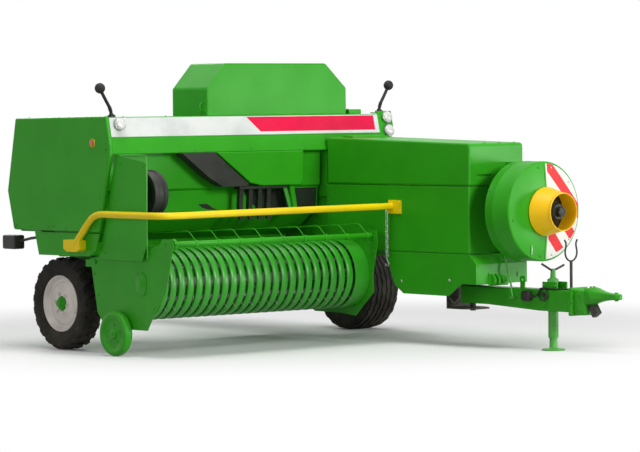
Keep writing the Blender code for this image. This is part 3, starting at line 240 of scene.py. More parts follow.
def new_group(name: str, inputs: Sequence[tuple[str, str, object]],
              outputs: Sequence[tuple[str, str]]) -> tuple[bpy.types.NodeTree, NodeTree]:
    """An empty shader group with its sockets.

    Args:
        name: The group's name.
        inputs: (socket type, name, default) for each input.
        outputs: (socket type, name) for each output.

    Returns:
        The group and a NodeTree on it.
    """
    group = bpy.data.node_groups.new(name, "ShaderNodeTree")
    for kind, label, default in inputs:
        socket = group.interface.new_socket(label, in_out="INPUT", socket_type=kind)
        if default is not None:
            socket.default_value = default
    for kind, label in outputs:
        group.interface.new_socket(label, in_out="OUTPUT", socket_type=kind)
    return group, NodeTree(group)


class EffectGroups:
    """The three effects that all finishes share: edge wear, dust and grain."""

    SHARP_BEND = (0.02, 0.22)
    WEAR_PATCHES = (0.42, 0.68)
    NEAR_GROUND = (0.05, 0.75)
    FACING_UP = (0.35, 0.95)
    DUST_PATCHES = (0.32, 0.75)

    def __init__(self) -> None:
        """Makes the three groups."""
        self.edge = self._edge_wear()
        self.dust = self._dust()
        self.grain = self._grain()

    def _edge_wear(self) -> bpy.types.NodeTree:
        """Where the surface bends sharply, broken up by noise, and a normal that rounds edges."""
        group, tree = new_group("edge_wear", [("NodeSocketFloat", "Radius", 0.003),
                                              ("NodeSocketFloat", "Amount", 0.3)],
                                [("NodeSocketFloat", "Mask"), ("NodeSocketVector", "Normal")])
        inside, outside = tree.add("NodeGroupInput"), tree.add("NodeGroupOutput")
        bevel = tree.add("ShaderNodeBevel", samples=4)
        tree.link(inside.outputs["Radius"], bevel.inputs["Radius"])
        geometry = tree.add("ShaderNodeNewGeometry")
        dot = tree.add("ShaderNodeVectorMath", operation="DOT_PRODUCT")
        tree.link(bevel.outputs["Normal"], dot.inputs[0])
        tree.link(geometry.outputs["Normal"], dot.inputs[1])
        bend = tree.math("SUBTRACT", 1.0, dot.outputs["Value"])
        coordinates = tree.add("ShaderNodeTexCoord").outputs["Object"]
        broken = tree.ramp(tree.noise(coordinates, 35.0, 6.0, 0.7), *self.WEAR_PATCHES)
        sharp = tree.ramp(bend, *self.SHARP_BEND)
        mask = tree.math("MULTIPLY", tree.math("MULTIPLY", sharp, broken), inside.outputs["Amount"], True)
        tree.link(mask, outside.inputs["Mask"])
        tree.link(bevel.outputs["Normal"], outside.inputs["Normal"])
        return group

    def _dust(self) -> bpy.types.NodeTree:
        """Dust on what faces up and on what is near the ground, in soft patches."""
        group, tree = new_group("field_dust", [("NodeSocketFloat", "Amount", 0.2)],
                                [("NodeSocketFloat", "Mask")])
        inside, outside = tree.add("NodeGroupInput"), tree.add("NodeGroupOutput")
        coordinates = tree.add("ShaderNodeTexCoord").outputs["Object"]
        split = tree.add("ShaderNodeSeparateXYZ")
        tree.link(coordinates, split.inputs[0])
        low = tree.math("SUBTRACT", 1.0, tree.ramp(split.outputs["Z"], *self.NEAR_GROUND))
        facing = tree.add("ShaderNodeSeparateXYZ")
        tree.link(tree.add("ShaderNodeNewGeometry").outputs["Normal"], facing.inputs[0])
        up = tree.math("MULTIPLY", tree.ramp(facing.outputs["Z"], *self.FACING_UP), 0.55)
        patches = tree.ramp(tree.noise(coordinates, 6.0, 8.0, 0.62), *self.DUST_PATCHES)
        where = tree.math("ADD", tree.math("MAXIMUM", low, up), 0.18)
        mask = tree.math("MULTIPLY", tree.math("MULTIPLY", where, patches), inside.outputs["Amount"], True)
        tree.link(mask, outside.inputs["Mask"])
        return group

    @staticmethod
    def _grain() -> bpy.types.NodeTree:
        """Fine height for bump and a slow mottle for colour and gloss."""
        group, tree = new_group("surface_grain", [("NodeSocketFloat", "Scale", 260.0)],
                                [("NodeSocketFloat", "Height"), ("NodeSocketFloat", "Mottle")])
        inside, outside = tree.add("NodeGroupInput"), tree.add("NodeGroupOutput")
        coordinates = tree.add("ShaderNodeTexCoord").outputs["Object"]
        fine = tree.add("ShaderNodeTexNoise", in_Detail=2.0)
        tree.link(coordinates, fine.inputs["Vector"])
        tree.link(inside.outputs["Scale"], fine.inputs["Scale"])
        slow = tree.noise(coordinates, 3.5, 5.0, 0.6)
        tree.link(fine.outputs[0], outside.inputs["Height"])
        tree.link(slow, outside.inputs["Mottle"])
        return group


class MaterialLibrary:
    """Builds each finish once, with its wear, dust and grain."""

    DUST: Colour = linear("a39a86")
    MOTTLED = (0.35, 0.70)
    COAT_ROUGHNESS = 0.08
    BUMP_DEPTH = 0.002

    def __init__(self) -> None:
        """Starts with the shared effects and no material."""
        self.effects = EffectGroups()
        self._made: dict[str, bpy.types.Material] = {}

    def get(self, finish: Finish) -> bpy.types.Material:
        """The material of a finish, made on first use."""
        if finish.name not in self._made:
            self._made[finish.name] = self.build(finish, lambda tree, coordinates: finish.colour)
        return self._made[finish.name]

    def patterned(self, finish: Finish, name: str, paint: Paint) -> bpy.types.Material:
        """A finish whose colour comes from a pattern over the piece.

        Args:
            finish: The finish that gives gloss and wear.
            name: The new material's name.
            paint: Takes (tree, object coordinates) and returns a colour or its socket.

        Returns:
            The material.
        """
        if name not in self._made:
            self._made[name] = self.build(finish, paint, name)
        return self._made[name]

    def build(self, finish: Finish, paint: Paint, name: str = "") -> bpy.types.Material:
        """A Principled material with the shared effects on it."""
        material = bpy.data.materials.new(name or finish.name)
        material.use_nodes = True
        tree = NodeTree(material.node_tree)
        shader = material.node_tree.nodes["Principled BSDF"]
        tree.fill(shader, Metallic=finish.metallic, Specular_IOR_Level=finish.shine, Coat_Weight=finish.coat,
                  Coat_Roughness=self.COAT_ROUGHNESS)
        coordinates = tree.add("ShaderNodeTexCoord").outputs["Object"]
        edge = tree.add("ShaderNodeGroup", node_tree=self.effects.edge, in_Radius=finish.round_edges,
                        in_Amount=finish.wear)
        dust = tree.add("ShaderNodeGroup", node_tree=self.effects.dust, in_Amount=finish.dust)
        grain = tree.add("ShaderNodeGroup", node_tree=self.effects.grain, in_Scale=finish.grain_scale)
        base = paint(tree, coordinates)
        # A finish with glow emits its own colour: painted light.
        if finish.glow:
            tree.fill(shader, Emission_Color=(*finish.colour, 1.0), Emission_Strength=finish.glow)
        level = 1.0 - finish.mottle * 2.0
        shaded = tree.mix(1.0, base, (level, level, level))
        shaded.node.blend_type = "MULTIPLY"
        varied = tree.mix(tree.ramp(grain.outputs["Mottle"], *self.MOTTLED), base, shaded)
        worn = tree.mix(edge.outputs["Mask"], varied, finish.worn)
        dusty = tree.mix(dust.outputs["Mask"], worn, self.DUST)
        tree.link(dusty, shader.inputs["Base Color"])
        gloss = tree.math("ADD", finish.roughness, tree.math("MULTIPLY", grain.outputs["Mottle"], 0.14))
        rough = tree.math("ADD", gloss, tree.math("MULTIPLY", dust.outputs["Mask"], 0.5), True)
        tree.link(rough, shader.inputs["Roughness"])
        bump = tree.add("ShaderNodeBump", in_Strength=finish.grain_bump, in_Distance=self.BUMP_DEPTH)
        tree.link(grain.outputs["Height"], bump.inputs["Height"])
        tree.link(edge.outputs["Normal"], bump.inputs["Normal"])
        tree.link(bump.outputs["Normal"], shader.inputs["Normal"])
        return material


class Patterns:
    """Painted patterns, as functions of a tree and object coordinates."""

    @staticmethod
    def split(tree: NodeTree, coordinates: bpy.types.NodeSocket) -> tuple[bpy.types.NodeSocket, ...]:
        """The X, Y and Z of the coordinates."""
        node = tree.add("ShaderNodeSeparateXYZ")
        tree.link(coordinates, node.inputs[0])
        return node.outputs[0], node.outputs[1], node.outputs[2]

    @staticmethod
    def hazard(tree: NodeTree, coordinates: bpy.types.NodeSocket) -> bpy.types.NodeSocket:
        """Red stripes on white that fall to the machine's left, with a white margin and a green edge.

        A stripe is where fract((x + slope * z - start) / pitch) is below width / pitch.
        """
        x, _, z = Patterns.split(tree, coordinates)
        slanted = tree.math("ADD", x, tree.math("MULTIPLY", z, STRIPES.slope))
        from_first = tree.math("SUBTRACT", slanted, STRIPES.start)
        part = tree.math("FRACT", tree.math("ADD", tree.math("DIVIDE", from_first, STRIPES.pitch), 20.0))
        stripe = tree.math("LESS_THAN", part, STRIPES.width / STRIPES.pitch)
        across = tree.math("POWER", tree.math("ABSOLUTE", tree.math("SUBTRACT", x, STRIPES.centre_x)), 2.0)
        up = tree.math("POWER", tree.math("ABSOLUTE", tree.math("SUBTRACT", z, STRIPES.centre_z)), 2.0)
        within = tree.math("LESS_THAN", tree.math("ADD", across, up), STRIPES.reach ** 2)
        right = tree.math("GREATER_THAN", x, STRIPES.edge + STRIPES.margin)
        mask = tree.math("MULTIPLY", stripe, tree.math("MULTIPLY", within, right))
        film = tree.mix(mask, linear("f3f1ec"), linear("ee1c25"))
        return tree.mix(tree.math("LESS_THAN", x, STRIPES.edge), film, linear("32a718"))

    @staticmethod
    def strip(tree: NodeTree, coordinates: bpy.types.NodeSocket) -> bpy.types.NodeSocket:
        """A white strip with a red panel whose right-hand end leans, and a white border."""
        x, _, z = Patterns.split(tree, coordinates)
        lean = tree.math("ADD", x, tree.math("MULTIPLY", z, STRIP.lean))
        inside = tree.math("GREATER_THAN", lean, STRIP.red_start + STRIP.middle * STRIP.lean)
        left = tree.math("LESS_THAN", x, STRIP.red_end)
        high = tree.math("GREATER_THAN", z, STRIP.middle - STRIP.half_red)
        low = tree.math("LESS_THAN", z, STRIP.middle + STRIP.half_red)
        across = tree.math("MULTIPLY", inside, left)
        mask = tree.math("MULTIPLY", across, tree.math("MULTIPLY", high, low))
        return tree.mix(mask, linear("ebedeb"), linear("f4064a"))


@dataclass(frozen=True)
class StripLayout:
    """Where the strip's red panel lies, in world metres."""

    red_start: float = -0.125
    red_end: float = 1.010
    middle: float = 1.5335
    half_red: float = 0.0515
    lean: float = 1.07


@dataclass(frozen=True)
class StripeLayout:
    """Where the hazard board's red stripes lie, in world metres."""

    start: float = 1.5345
    pitch: float = 0.2045
    width: float = 0.098
    slope: float = 0.90
    edge: float = 0.852
    margin: float = 0.011
    centre_x: float = 0.850
    centre_z: float = 0.966
    reach: float = 0.328


STRIP = StripLayout()
STRIPES = StripeLayout()

# A bolt's rings from the flange up: the size as a share of the width across flats, and the height as a
# share of the head's. Rings above HEXAGON_SIZE are round, and the others have six flats.
BOLT_ROWS = ((0.62, 0.0), (0.62, 0.16), (0.55, 0.24), (0.5, 0.24), (0.5, 0.86), (0.42, 1.0))
BOLT_SIDES = 24
HEXAGON_SIZE = 0.5
BOLT_FLANGE = 1.12
BOLT_HEAD = 1.15 * 0.9


def turns(steps: int) -> np.ndarray:
    """Evenly spaced angles round a full turn, in radians."""
    return np.arange(steps) * (2 * math.pi / steps)


def directions(angle: np.ndarray, side: np.ndarray, other: np.ndarray) -> np.ndarray:
    """side * cos(angle) + other * sin(angle), a row for each angle."""
    return np.cos(angle)[:, None] * side + np.sin(angle)[:, None] * other


@dataclass
class MeshDraft:
    """Vertices and faces gathered for one piece."""

    points: list[np.ndarray] = field(default_factory=list)
    faces: list[tuple[int, ...]] = field(default_factory=list)
    count: int = 0

    def add(self, points: np.ndarray, faces: Iterable[Sequence[int]]) -> None:
        """Adds a part with its own face indices."""
        self.points.append(np.asarray(points, float))
        self.faces.extend(tuple(i + self.count for i in face) for face in faces)
        self.count += len(points)

    def skin(self, rings: np.ndarray, wrap_rings: bool = False, wrap_places: bool = True,
             capped: bool = True) -> None:
        """Quads between neighbouring rings of points.

        Args:
            rings: The points, as an array of (ring, place, 3).
            wrap_rings: Whether the last ring joins the first.
            wrap_places: Whether each ring closes on itself.
            capped: Whether the first and the last ring are closed with a flat face.
        """
        count, places = rings.shape[:2]
        index = np.arange(count * places).reshape(count, places)
        faces = [index[0, ::-1].tolist(), index[-1].tolist()] if capped else []
        if wrap_rings:
            index = np.concatenate([index, index[:1]])
        if wrap_places:
            index = np.concatenate([index, index[:, :1]], axis=1)
        quads = np.stack([index[:-1, :-1], index[:-1, 1:], index[1:, 1:], index[1:, :-1]], axis=-1)
        self.add(rings.reshape(-1, 3), quads.reshape(-1, 4).tolist() + faces)

    def lathe(self, profile: Outline, centre: Point, axis: Axis, steps: int = 64,
              closed: bool = True) -> None:
        """A solid of revolution: (along, radius * cos(angle), radius * sin(angle)) from the centre.

        Args:
            profile: (along, radius) pairs round the section.
            centre: A point on the axis, where along is 0.
            axis: The world axis.
            steps: Segments round the axis.
            closed: Whether the section closes on itself.
        """
        along, radius = np.asarray(profile, float).T
        angle = turns(steps)[:, None]
        grid = np.empty((steps, len(along), 3))
        for column, part in zip(axis.value, (along, np.cos(angle) * radius, np.sin(angle) * radius)):
            grid[..., column] = part + centre[column]
        self.skin(grid, wrap_rings=True, wrap_places=closed, capped=False)

    def sweep(self, path: Sequence[Point], radius: float, sides: int = 12, closed: bool = False) -> None:
        """A round bar along a path, with flat ends unless it is closed.

        Each ring stands square to the path, with its first side carried on from the ring before.
        """
        line = np.asarray(path, float)
        tangent = np.roll(line, -1, 0) - np.roll(line, 1, 0) if closed else np.gradient(line, axis=0)
        tangent /= np.linalg.norm(tangent, axis=1)[:, None]
        side = np.cross(tangent[0], (0.0, 0.0, 1.0))
        if np.linalg.norm(side) < NEARLY_PARALLEL:
            side = np.cross(tangent[0], (1.0, 0.0, 0.0))
        rings = []
        for spot, way in zip(line, tangent):
            side = side - way * side.dot(way)
            side /= np.linalg.norm(side)
            rings.append(spot + radius * directions(turns(sides), side, np.cross(way, side)))
        self.skin(np.array(rings), wrap_rings=closed, capped=not closed)

    def prism(self, outline: Sequence[Point], push: Point) -> None:
        """A flat outline pushed along a vector."""
        base = np.asarray(outline, float)
        self.skin(np.stack([base, base + np.asarray(push, float)]))

    def box(self, low: Point, high: Point) -> None:
        """A box between two opposite corners."""
        (x, y, z), (right, back, top) = low, high
        self.prism([(x, y, z), (right, y, z), (right, back, z), (x, back, z)], (0.0, 0.0, top - z))

    def bolt(self, spot: Point, normal: Point, across: float, height: float) -> None:
        """A flanged hexagon bolt head that sits on a surface.

        The flange is round. The head reaches size / cos(angle from the middle of the nearest flat).
        """
        up = Vector(normal).normalized()
        side = up.orthogonal().normalized()
        angle = turns(BOLT_SIDES)
        from_flat = (angle + math.pi / 6) % (math.pi / 3) - math.pi / 6
        size, lift = np.array(BOLT_ROWS).T[..., None]
        reach = across * size * np.where(size > HEXAGON_SIZE, BOLT_FLANGE, BOLT_HEAD / np.cos(from_flat))
        around = directions(angle, np.asarray(side), np.asarray(up.cross(side)))
        self.skin(np.asarray(spot) + (height * lift)[..., None] * np.asarray(up) + reach[..., None] * around)

    def bolt_circle(self, centre: Point, axis: Axis, radius: float, degrees: Iterable[float], normal: Point,
                    across: float, height: float) -> None:
        """Bolts round an axis, each at centre + radius * (cos, sin) in the plane across it."""
        _, first, second = axis.value
        for turn in np.radians(list(degrees)):
            spot = list(centre)
            spot[first] += radius * math.cos(turn)
            spot[second] += radius * math.sin(turn)
            self.bolt(tuple(spot), normal, across, height)

    def piece(self, name: str, material: bpy.types.Material, slot: str, body: str,
              smooth_below: float = 40.0) -> bpy.types.Object:
        """Turns the draft into an object that rides on a body, with doubles merged and faces outwards.

        Args:
            name: The piece's name.
            material: Its material.
            slot: The record's material slot; not used.
            body: The CAD body that it rides on.
            smooth_below: The bend in degrees below which edges are smooth.

        Returns:
            The object.
        """
        mesh = bpy.data.meshes.new(name)
        points = np.concatenate(self.points)
        mesh.from_pydata(points.tolist(), [], self.faces)
        shell = bmesh.new()
        shell.from_mesh(mesh)
        bmesh.ops.remove_doubles(shell, verts=shell.verts, dist=MERGE_DISTANCE)
        bmesh.ops.recalc_face_normals(shell, faces=shell.faces)
        shell.to_mesh(mesh)
        shell.free()
        mesh.polygons.foreach_set("use_smooth", np.ones(len(mesh.polygons), bool))
        mesh.set_sharp_from_angle(angle=math.radians(smooth_below))
        mesh.materials.append(material)
        mesh.validate()
        made = bpy.data.objects.new(name, mesh)
        bpy.context.scene.collection.objects.link(made)
        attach(made, body)
        return made


OFFSET: Point = (-1.280, 0.730, 0.0)
CLEARANCE = 0.0003


def at(x: float, y: float, z: float) -> Point:
    """World point of a place in the machine's own layout, whose origin is under the right wheel."""
    return (x + OFFSET[0], y + OFFSET[1], z + OFFSET[2])


def as_points(x: np.ndarray, y: np.ndarray, z: np.ndarray) -> np.ndarray:
    """One array of points, with X, Y and Z last, from coordinates that broadcast together."""
    return np.stack(np.broadcast_arrays(x, y, z), axis=-1)


def smooth_path(points: Sequence[Point], per_span: int = 6) -> list[Point]:
    """A Catmull-Rom curve through the points.

    Args:
        points: The corners of the path.
        per_span: Points made between two corners.

    Returns:
        The curve's points, ends included.
    """
    line = np.asarray(points, float)
    padded = np.concatenate([[2 * line[0] - line[1]], line, [2 * line[-1] - line[-2]]])
    result: list[Point] = []
    for k in range(len(line) - 1):
        a, b, c, d = padded[k:k + 4]
        for t in np.arange(per_span) / per_span:
            result.append(tuple(0.5 * (2 * b + (c - a) * t + (2 * a - 5 * b + 4 * c - d) * t * t
                                       + (3 * b - a - 3 * c + d) * t ** 3)))
    result.append(tuple(line[-1]))
    return result


@dataclass
class Assembly:
    """A part of the machine that makes its own pieces from the shared materials."""

    library: MaterialLibrary

    def finish(self, draft: MeshDraft, name: str, finish: Finishes, body: str,
               replaced: Sequence[str] = (), smooth_below: float = 40.0) -> bpy.types.Object:
        """Makes the piece with a plain finish.

        Args:
            draft: Its gathered mesh.
            name: Its name.
            finish: Its finish.
            body: The CAD body that it rides on.
            replaced: The CAD nodes that it stands for.
            smooth_below: The bend in degrees below which edges are smooth.

        Returns:
            The object.
        """
        look = finish.value
        piece = draft.piece(name, self.library.get(look), look.slot, body, smooth_below)
        if replaced:
            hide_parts(*replaced)
        return piece


@dataclass
class CarriedNodes(Assembly):
    """The CAD nodes that stay, each with the finish of its slot."""

    patterns: dict[str, str] = field(default_factory=lambda: {"front_strip": "strip",
                                                              "hazard_board": "hazard"})
    # The drawbar bracket is green, but takes the dark finish: painted shade under the skirt.
    painted_shade_finishes: dict[str, Finish] = field(default_factory=lambda: {"drawbar_bracket": Finishes.DARK.value})

    def build(self) -> None:
        """Gives each node that stays its finish or its pattern; the drawbar bracket takes the dark finish as
        painted shade.
        """
        by_slot = {item.value.slot: item.value for item in reversed(Finishes)}
        for row in frame["record"]["subparts"]:
            name, finish = row["node"], by_slot[row["material_slot"]]
            pattern = self.patterns.get(name)
            if pattern:
                material = self.library.patterned(finish, name + "_paint", getattr(Patterns, pattern))
            else:
                material = self.library.get(self.painted_shade_finishes.get(name, finish))
            for holder in frame["nodes"][name].material_slots:
                holder.material = material


@dataclass(frozen=True)
class TyreShape:
    """A tyre's main sizes in metres."""

    side: str
    x: float
    width: float
    out: int
    ribs: int
    radius: float = 0.318
    rim: float = 0.195


@dataclass
class RunningGear(Assembly):
    """Both road wheels: tyres with tread, pressed rims, nuts and grease caps."""

    def build(self) -> None:
        """The narrow right wheel with bars and the wide left wheel with ribs."""
        for shape in (TyreShape("right", -0.015, 0.150, -1, 0), TyreShape("left", 2.665, 0.290, 1, 6)):
            self.tyre(shape)
            self.rim(shape)
            self.hub(shape)

    def tyre(self, shape: TyreShape) -> None:
        """The tyre's section turned round the axle, with its tread."""
        half, radius, rim = shape.width / 2, shape.radius, shape.rim
        wall = radius - rim
        side = [(0.80, rim + 0.0005), (0.86, rim + 0.004), (0.88, rim + 0.012), (0.93, rim + 0.022),
                (0.965, rim + 0.30 * wall), (0.99, rim + 0.45 * wall), (1.0, rim + 0.58 * wall),
                (0.995, rim + 0.64 * wall), (0.985, rim + 0.645 * wall), (0.985, rim + 0.67 * wall),
                (0.965, rim + 0.75 * wall), (0.93, rim + 0.83 * wall)]
        deep = 0.014 if shape.ribs == 0 else 0.010
        tread = [(0.88, radius - 0.022), (0.78, radius - deep - 0.003), (0.40, radius - deep)]
        section = [(-a * half, r) for a, r in side + tread]
        section += [(a * half, r) for a, r in reversed(side + tread)]
        section += [(0.70 * half, rim + 0.0005), (-0.70 * half, rim + 0.0005)]
        draft = MeshDraft()
        centre = at(shape.x, 0.0, radius)
        draft.lathe(section, centre, Axis.X, 112)
        if shape.ribs:
            self.ribbed_tread(draft, shape, centre)
        else:
            self.barred_tread(draft, shape, centre)
        self.finish(draft, shape.side + "_tyre_treaded", Finishes.RUBBER, shape.side + "_wheel",
                    [shape.side + "_tyre"], 50.0)

    @staticmethod
    def barred_tread(draft: MeshDraft, shape: TyreShape, centre: Point) -> None:
        """Slanted bars, left and right in turn, that run down over the shoulder.

        A corner lies at radius + drop + lift, turned by start + turn + spread * width / (2 * radius).
        """
        half, radius, bars = shape.width / 2, shape.radius, 22
        rows = ((0.03, 0.0, 0.000), (0.30, 0.020, 0.0), (0.60, 0.055, -0.001), (0.84, 0.085, -0.005),
                (0.97, 0.098, -0.018), (1.0, 0.100, -0.040))
        across, turn, drop = np.array(rows).T[..., None]
        spread = np.array((1.25, 1.0, -1.0, -1.25))
        base = np.where(across < 0.9, -0.020, -0.016)
        lift = np.where(np.abs(spread) > 1.0, base, 0.0)
        reach = radius + drop + lift
        aside = across * half * np.where(lift == 0.0, 1.0, 0.985)
        wide = 0.030 + 0.012 * across
        for k in range(bars * 2):
            angle = math.pi * k / bars + turn + spread * wide / 2 / radius
            hand = 1 if k % 2 else -1
            draft.skin(as_points(centre[0] + hand * aside, centre[1] + reach * np.cos(angle),
                            centre[2] + reach * np.sin(angle)))

    @staticmethod
    def ribbed_tread(draft: MeshDraft, shape: TyreShape, centre: Point) -> None:
        """Straight ribs round the tyre whose edges step in and out, every third place."""
        half, radius, steps = shape.width / 2, shape.radius, 132
        land = half * 1.66 / (2 * shape.ribs - 1)
        angle = turns(steps)[:, None]
        step = np.where((np.arange(steps) // 3) % 2 == 0, 1.0, -1.0)[:, None] * land * 0.16
        for rib in range(shape.ribs):
            middle = -half * 0.83 + land * (2 * rib + 0.5)
            drop = 0.006 if rib in (0, shape.ribs - 1) else 0.0
            shift = step * (1.0 if rib % 2 else -1.0)
            top = drop + 0.0008
            across, low = np.array(((-0.62, 0.014), (-0.54, top), (0.54, top), (0.62, 0.014))).T
            reach = radius - low
            rings = as_points(centre[0] + middle + across * land + shift, centre[1] + reach * np.cos(angle),
                              centre[2] + reach * np.sin(angle))
            draft.skin(rings, wrap_rings=True, capped=False)

    def rim(self, shape: TyreShape) -> None:
        """The pressed rim with its wheel nuts and the valve."""
        lip, out = shape.width * 0.40, shape.out
        face = [(lip, 0.1945), (lip + 0.004, 0.193), (lip + 0.0045, 0.188), (lip + 0.001, 0.184),
                (lip - 0.010, 0.181), (lip - 0.018, 0.172), (lip - 0.030, 0.168), (lip - 0.034, 0.158),
                (lip - 0.030, 0.150), (lip - 0.022, 0.140), (lip - 0.020, 0.118), (lip - 0.021, 0.108),
                (lip - 0.014, 0.096), (lip - 0.010, 0.088), (lip - 0.010, 0.052), (lip - 0.016, 0.050),
                (lip - 0.030, 0.052), (lip - 0.038, 0.112), (lip - 0.046, 0.150), (-lip, 0.152),
                (-lip, 0.1945)]
        draft = MeshDraft()
        x, y, z = centre = at(shape.x, 0.0, shape.radius)
        draft.lathe([(out * a, r) for a, r in face], centre, Axis.X, 96)
        draft.bolt_circle((x + out * (lip - 0.010), y, z), Axis.X, 0.070, range(10, 370, 60), (out, 0, 0),
                          0.019, 0.014)
        turn, reach = math.radians(200), 0.160
        valve = [(x + out * (lip - 0.030 + d), y + reach * math.cos(turn), z + reach * math.sin(turn))
                 for d in (0.0, 0.014, 0.028)]
        draft.sweep(valve, 0.004, 10)
        self.finish(draft, shape.side + "_rim_pressed", Finishes.SILVER, shape.side + "_wheel",
                    [shape.side + "_rim"])

    def hub(self, shape: TyreShape) -> None:
        """The hub with its grease cap and the cap's four screws."""
        lip, out, rear = shape.width * 0.40, shape.out, shape.width / 2 + 0.004
        section = [(-rear, 0.0235), (-rear, 0.040), (lip - 0.030, 0.0496), (lip - 0.014, 0.0496),
                   (lip - 0.012, 0.046), (lip - 0.002, 0.044), (lip + 0.001, 0.040), (lip + 0.001, 0.034),
                   (lip + 0.010, 0.032), (lip + 0.0135, 0.028), (lip + 0.014, 0.010), (lip + 0.0145, 0.0)]
        draft = MeshDraft()
        x, y, z = centre = at(shape.x, 0.0, shape.radius)
        draft.lathe([(out * a, r) for a, r in section], centre, Axis.X, 64, closed=False)
        draft.bolt_circle((x + out * (lip - 0.0015), y, z), Axis.X, 0.0385, range(45, 405, 90), (out, 0, 0),
                          0.006, 0.004)
        self.finish(draft, shape.side + "_hub_capped", Finishes.GREEN, shape.side + "_wheel",
                    [shape.side + "_hub"])


@dataclass(frozen=True)
class PickupShape:
    """The pickup's main sizes, in the machine's layout."""

    right: float = -0.130
    left: float = 1.700
    reel_y: float = -0.970
    reel_z: float = 0.485
    bands: int = 22
    pitch: float = 0.0743
    slot: float = 0.022
    radius: float = 0.235
    sheet: float = 0.006
    rear: float = -0.620
    guard_y: float = -1.230
    guard_z: float = 0.755

    @property
    def low(self) -> float:
        """Right side of the first full band."""
        return -0.040 - (self.pitch - self.slot) / 2

    @property
    def first(self) -> float:
        """Inner face of the right plate, with the clearance."""
        return self.right + self.sheet + CLEARANCE

    @property
    def last(self) -> float:
        """Inner face of the left plate, with the clearance."""
        return self.left - CLEARANCE


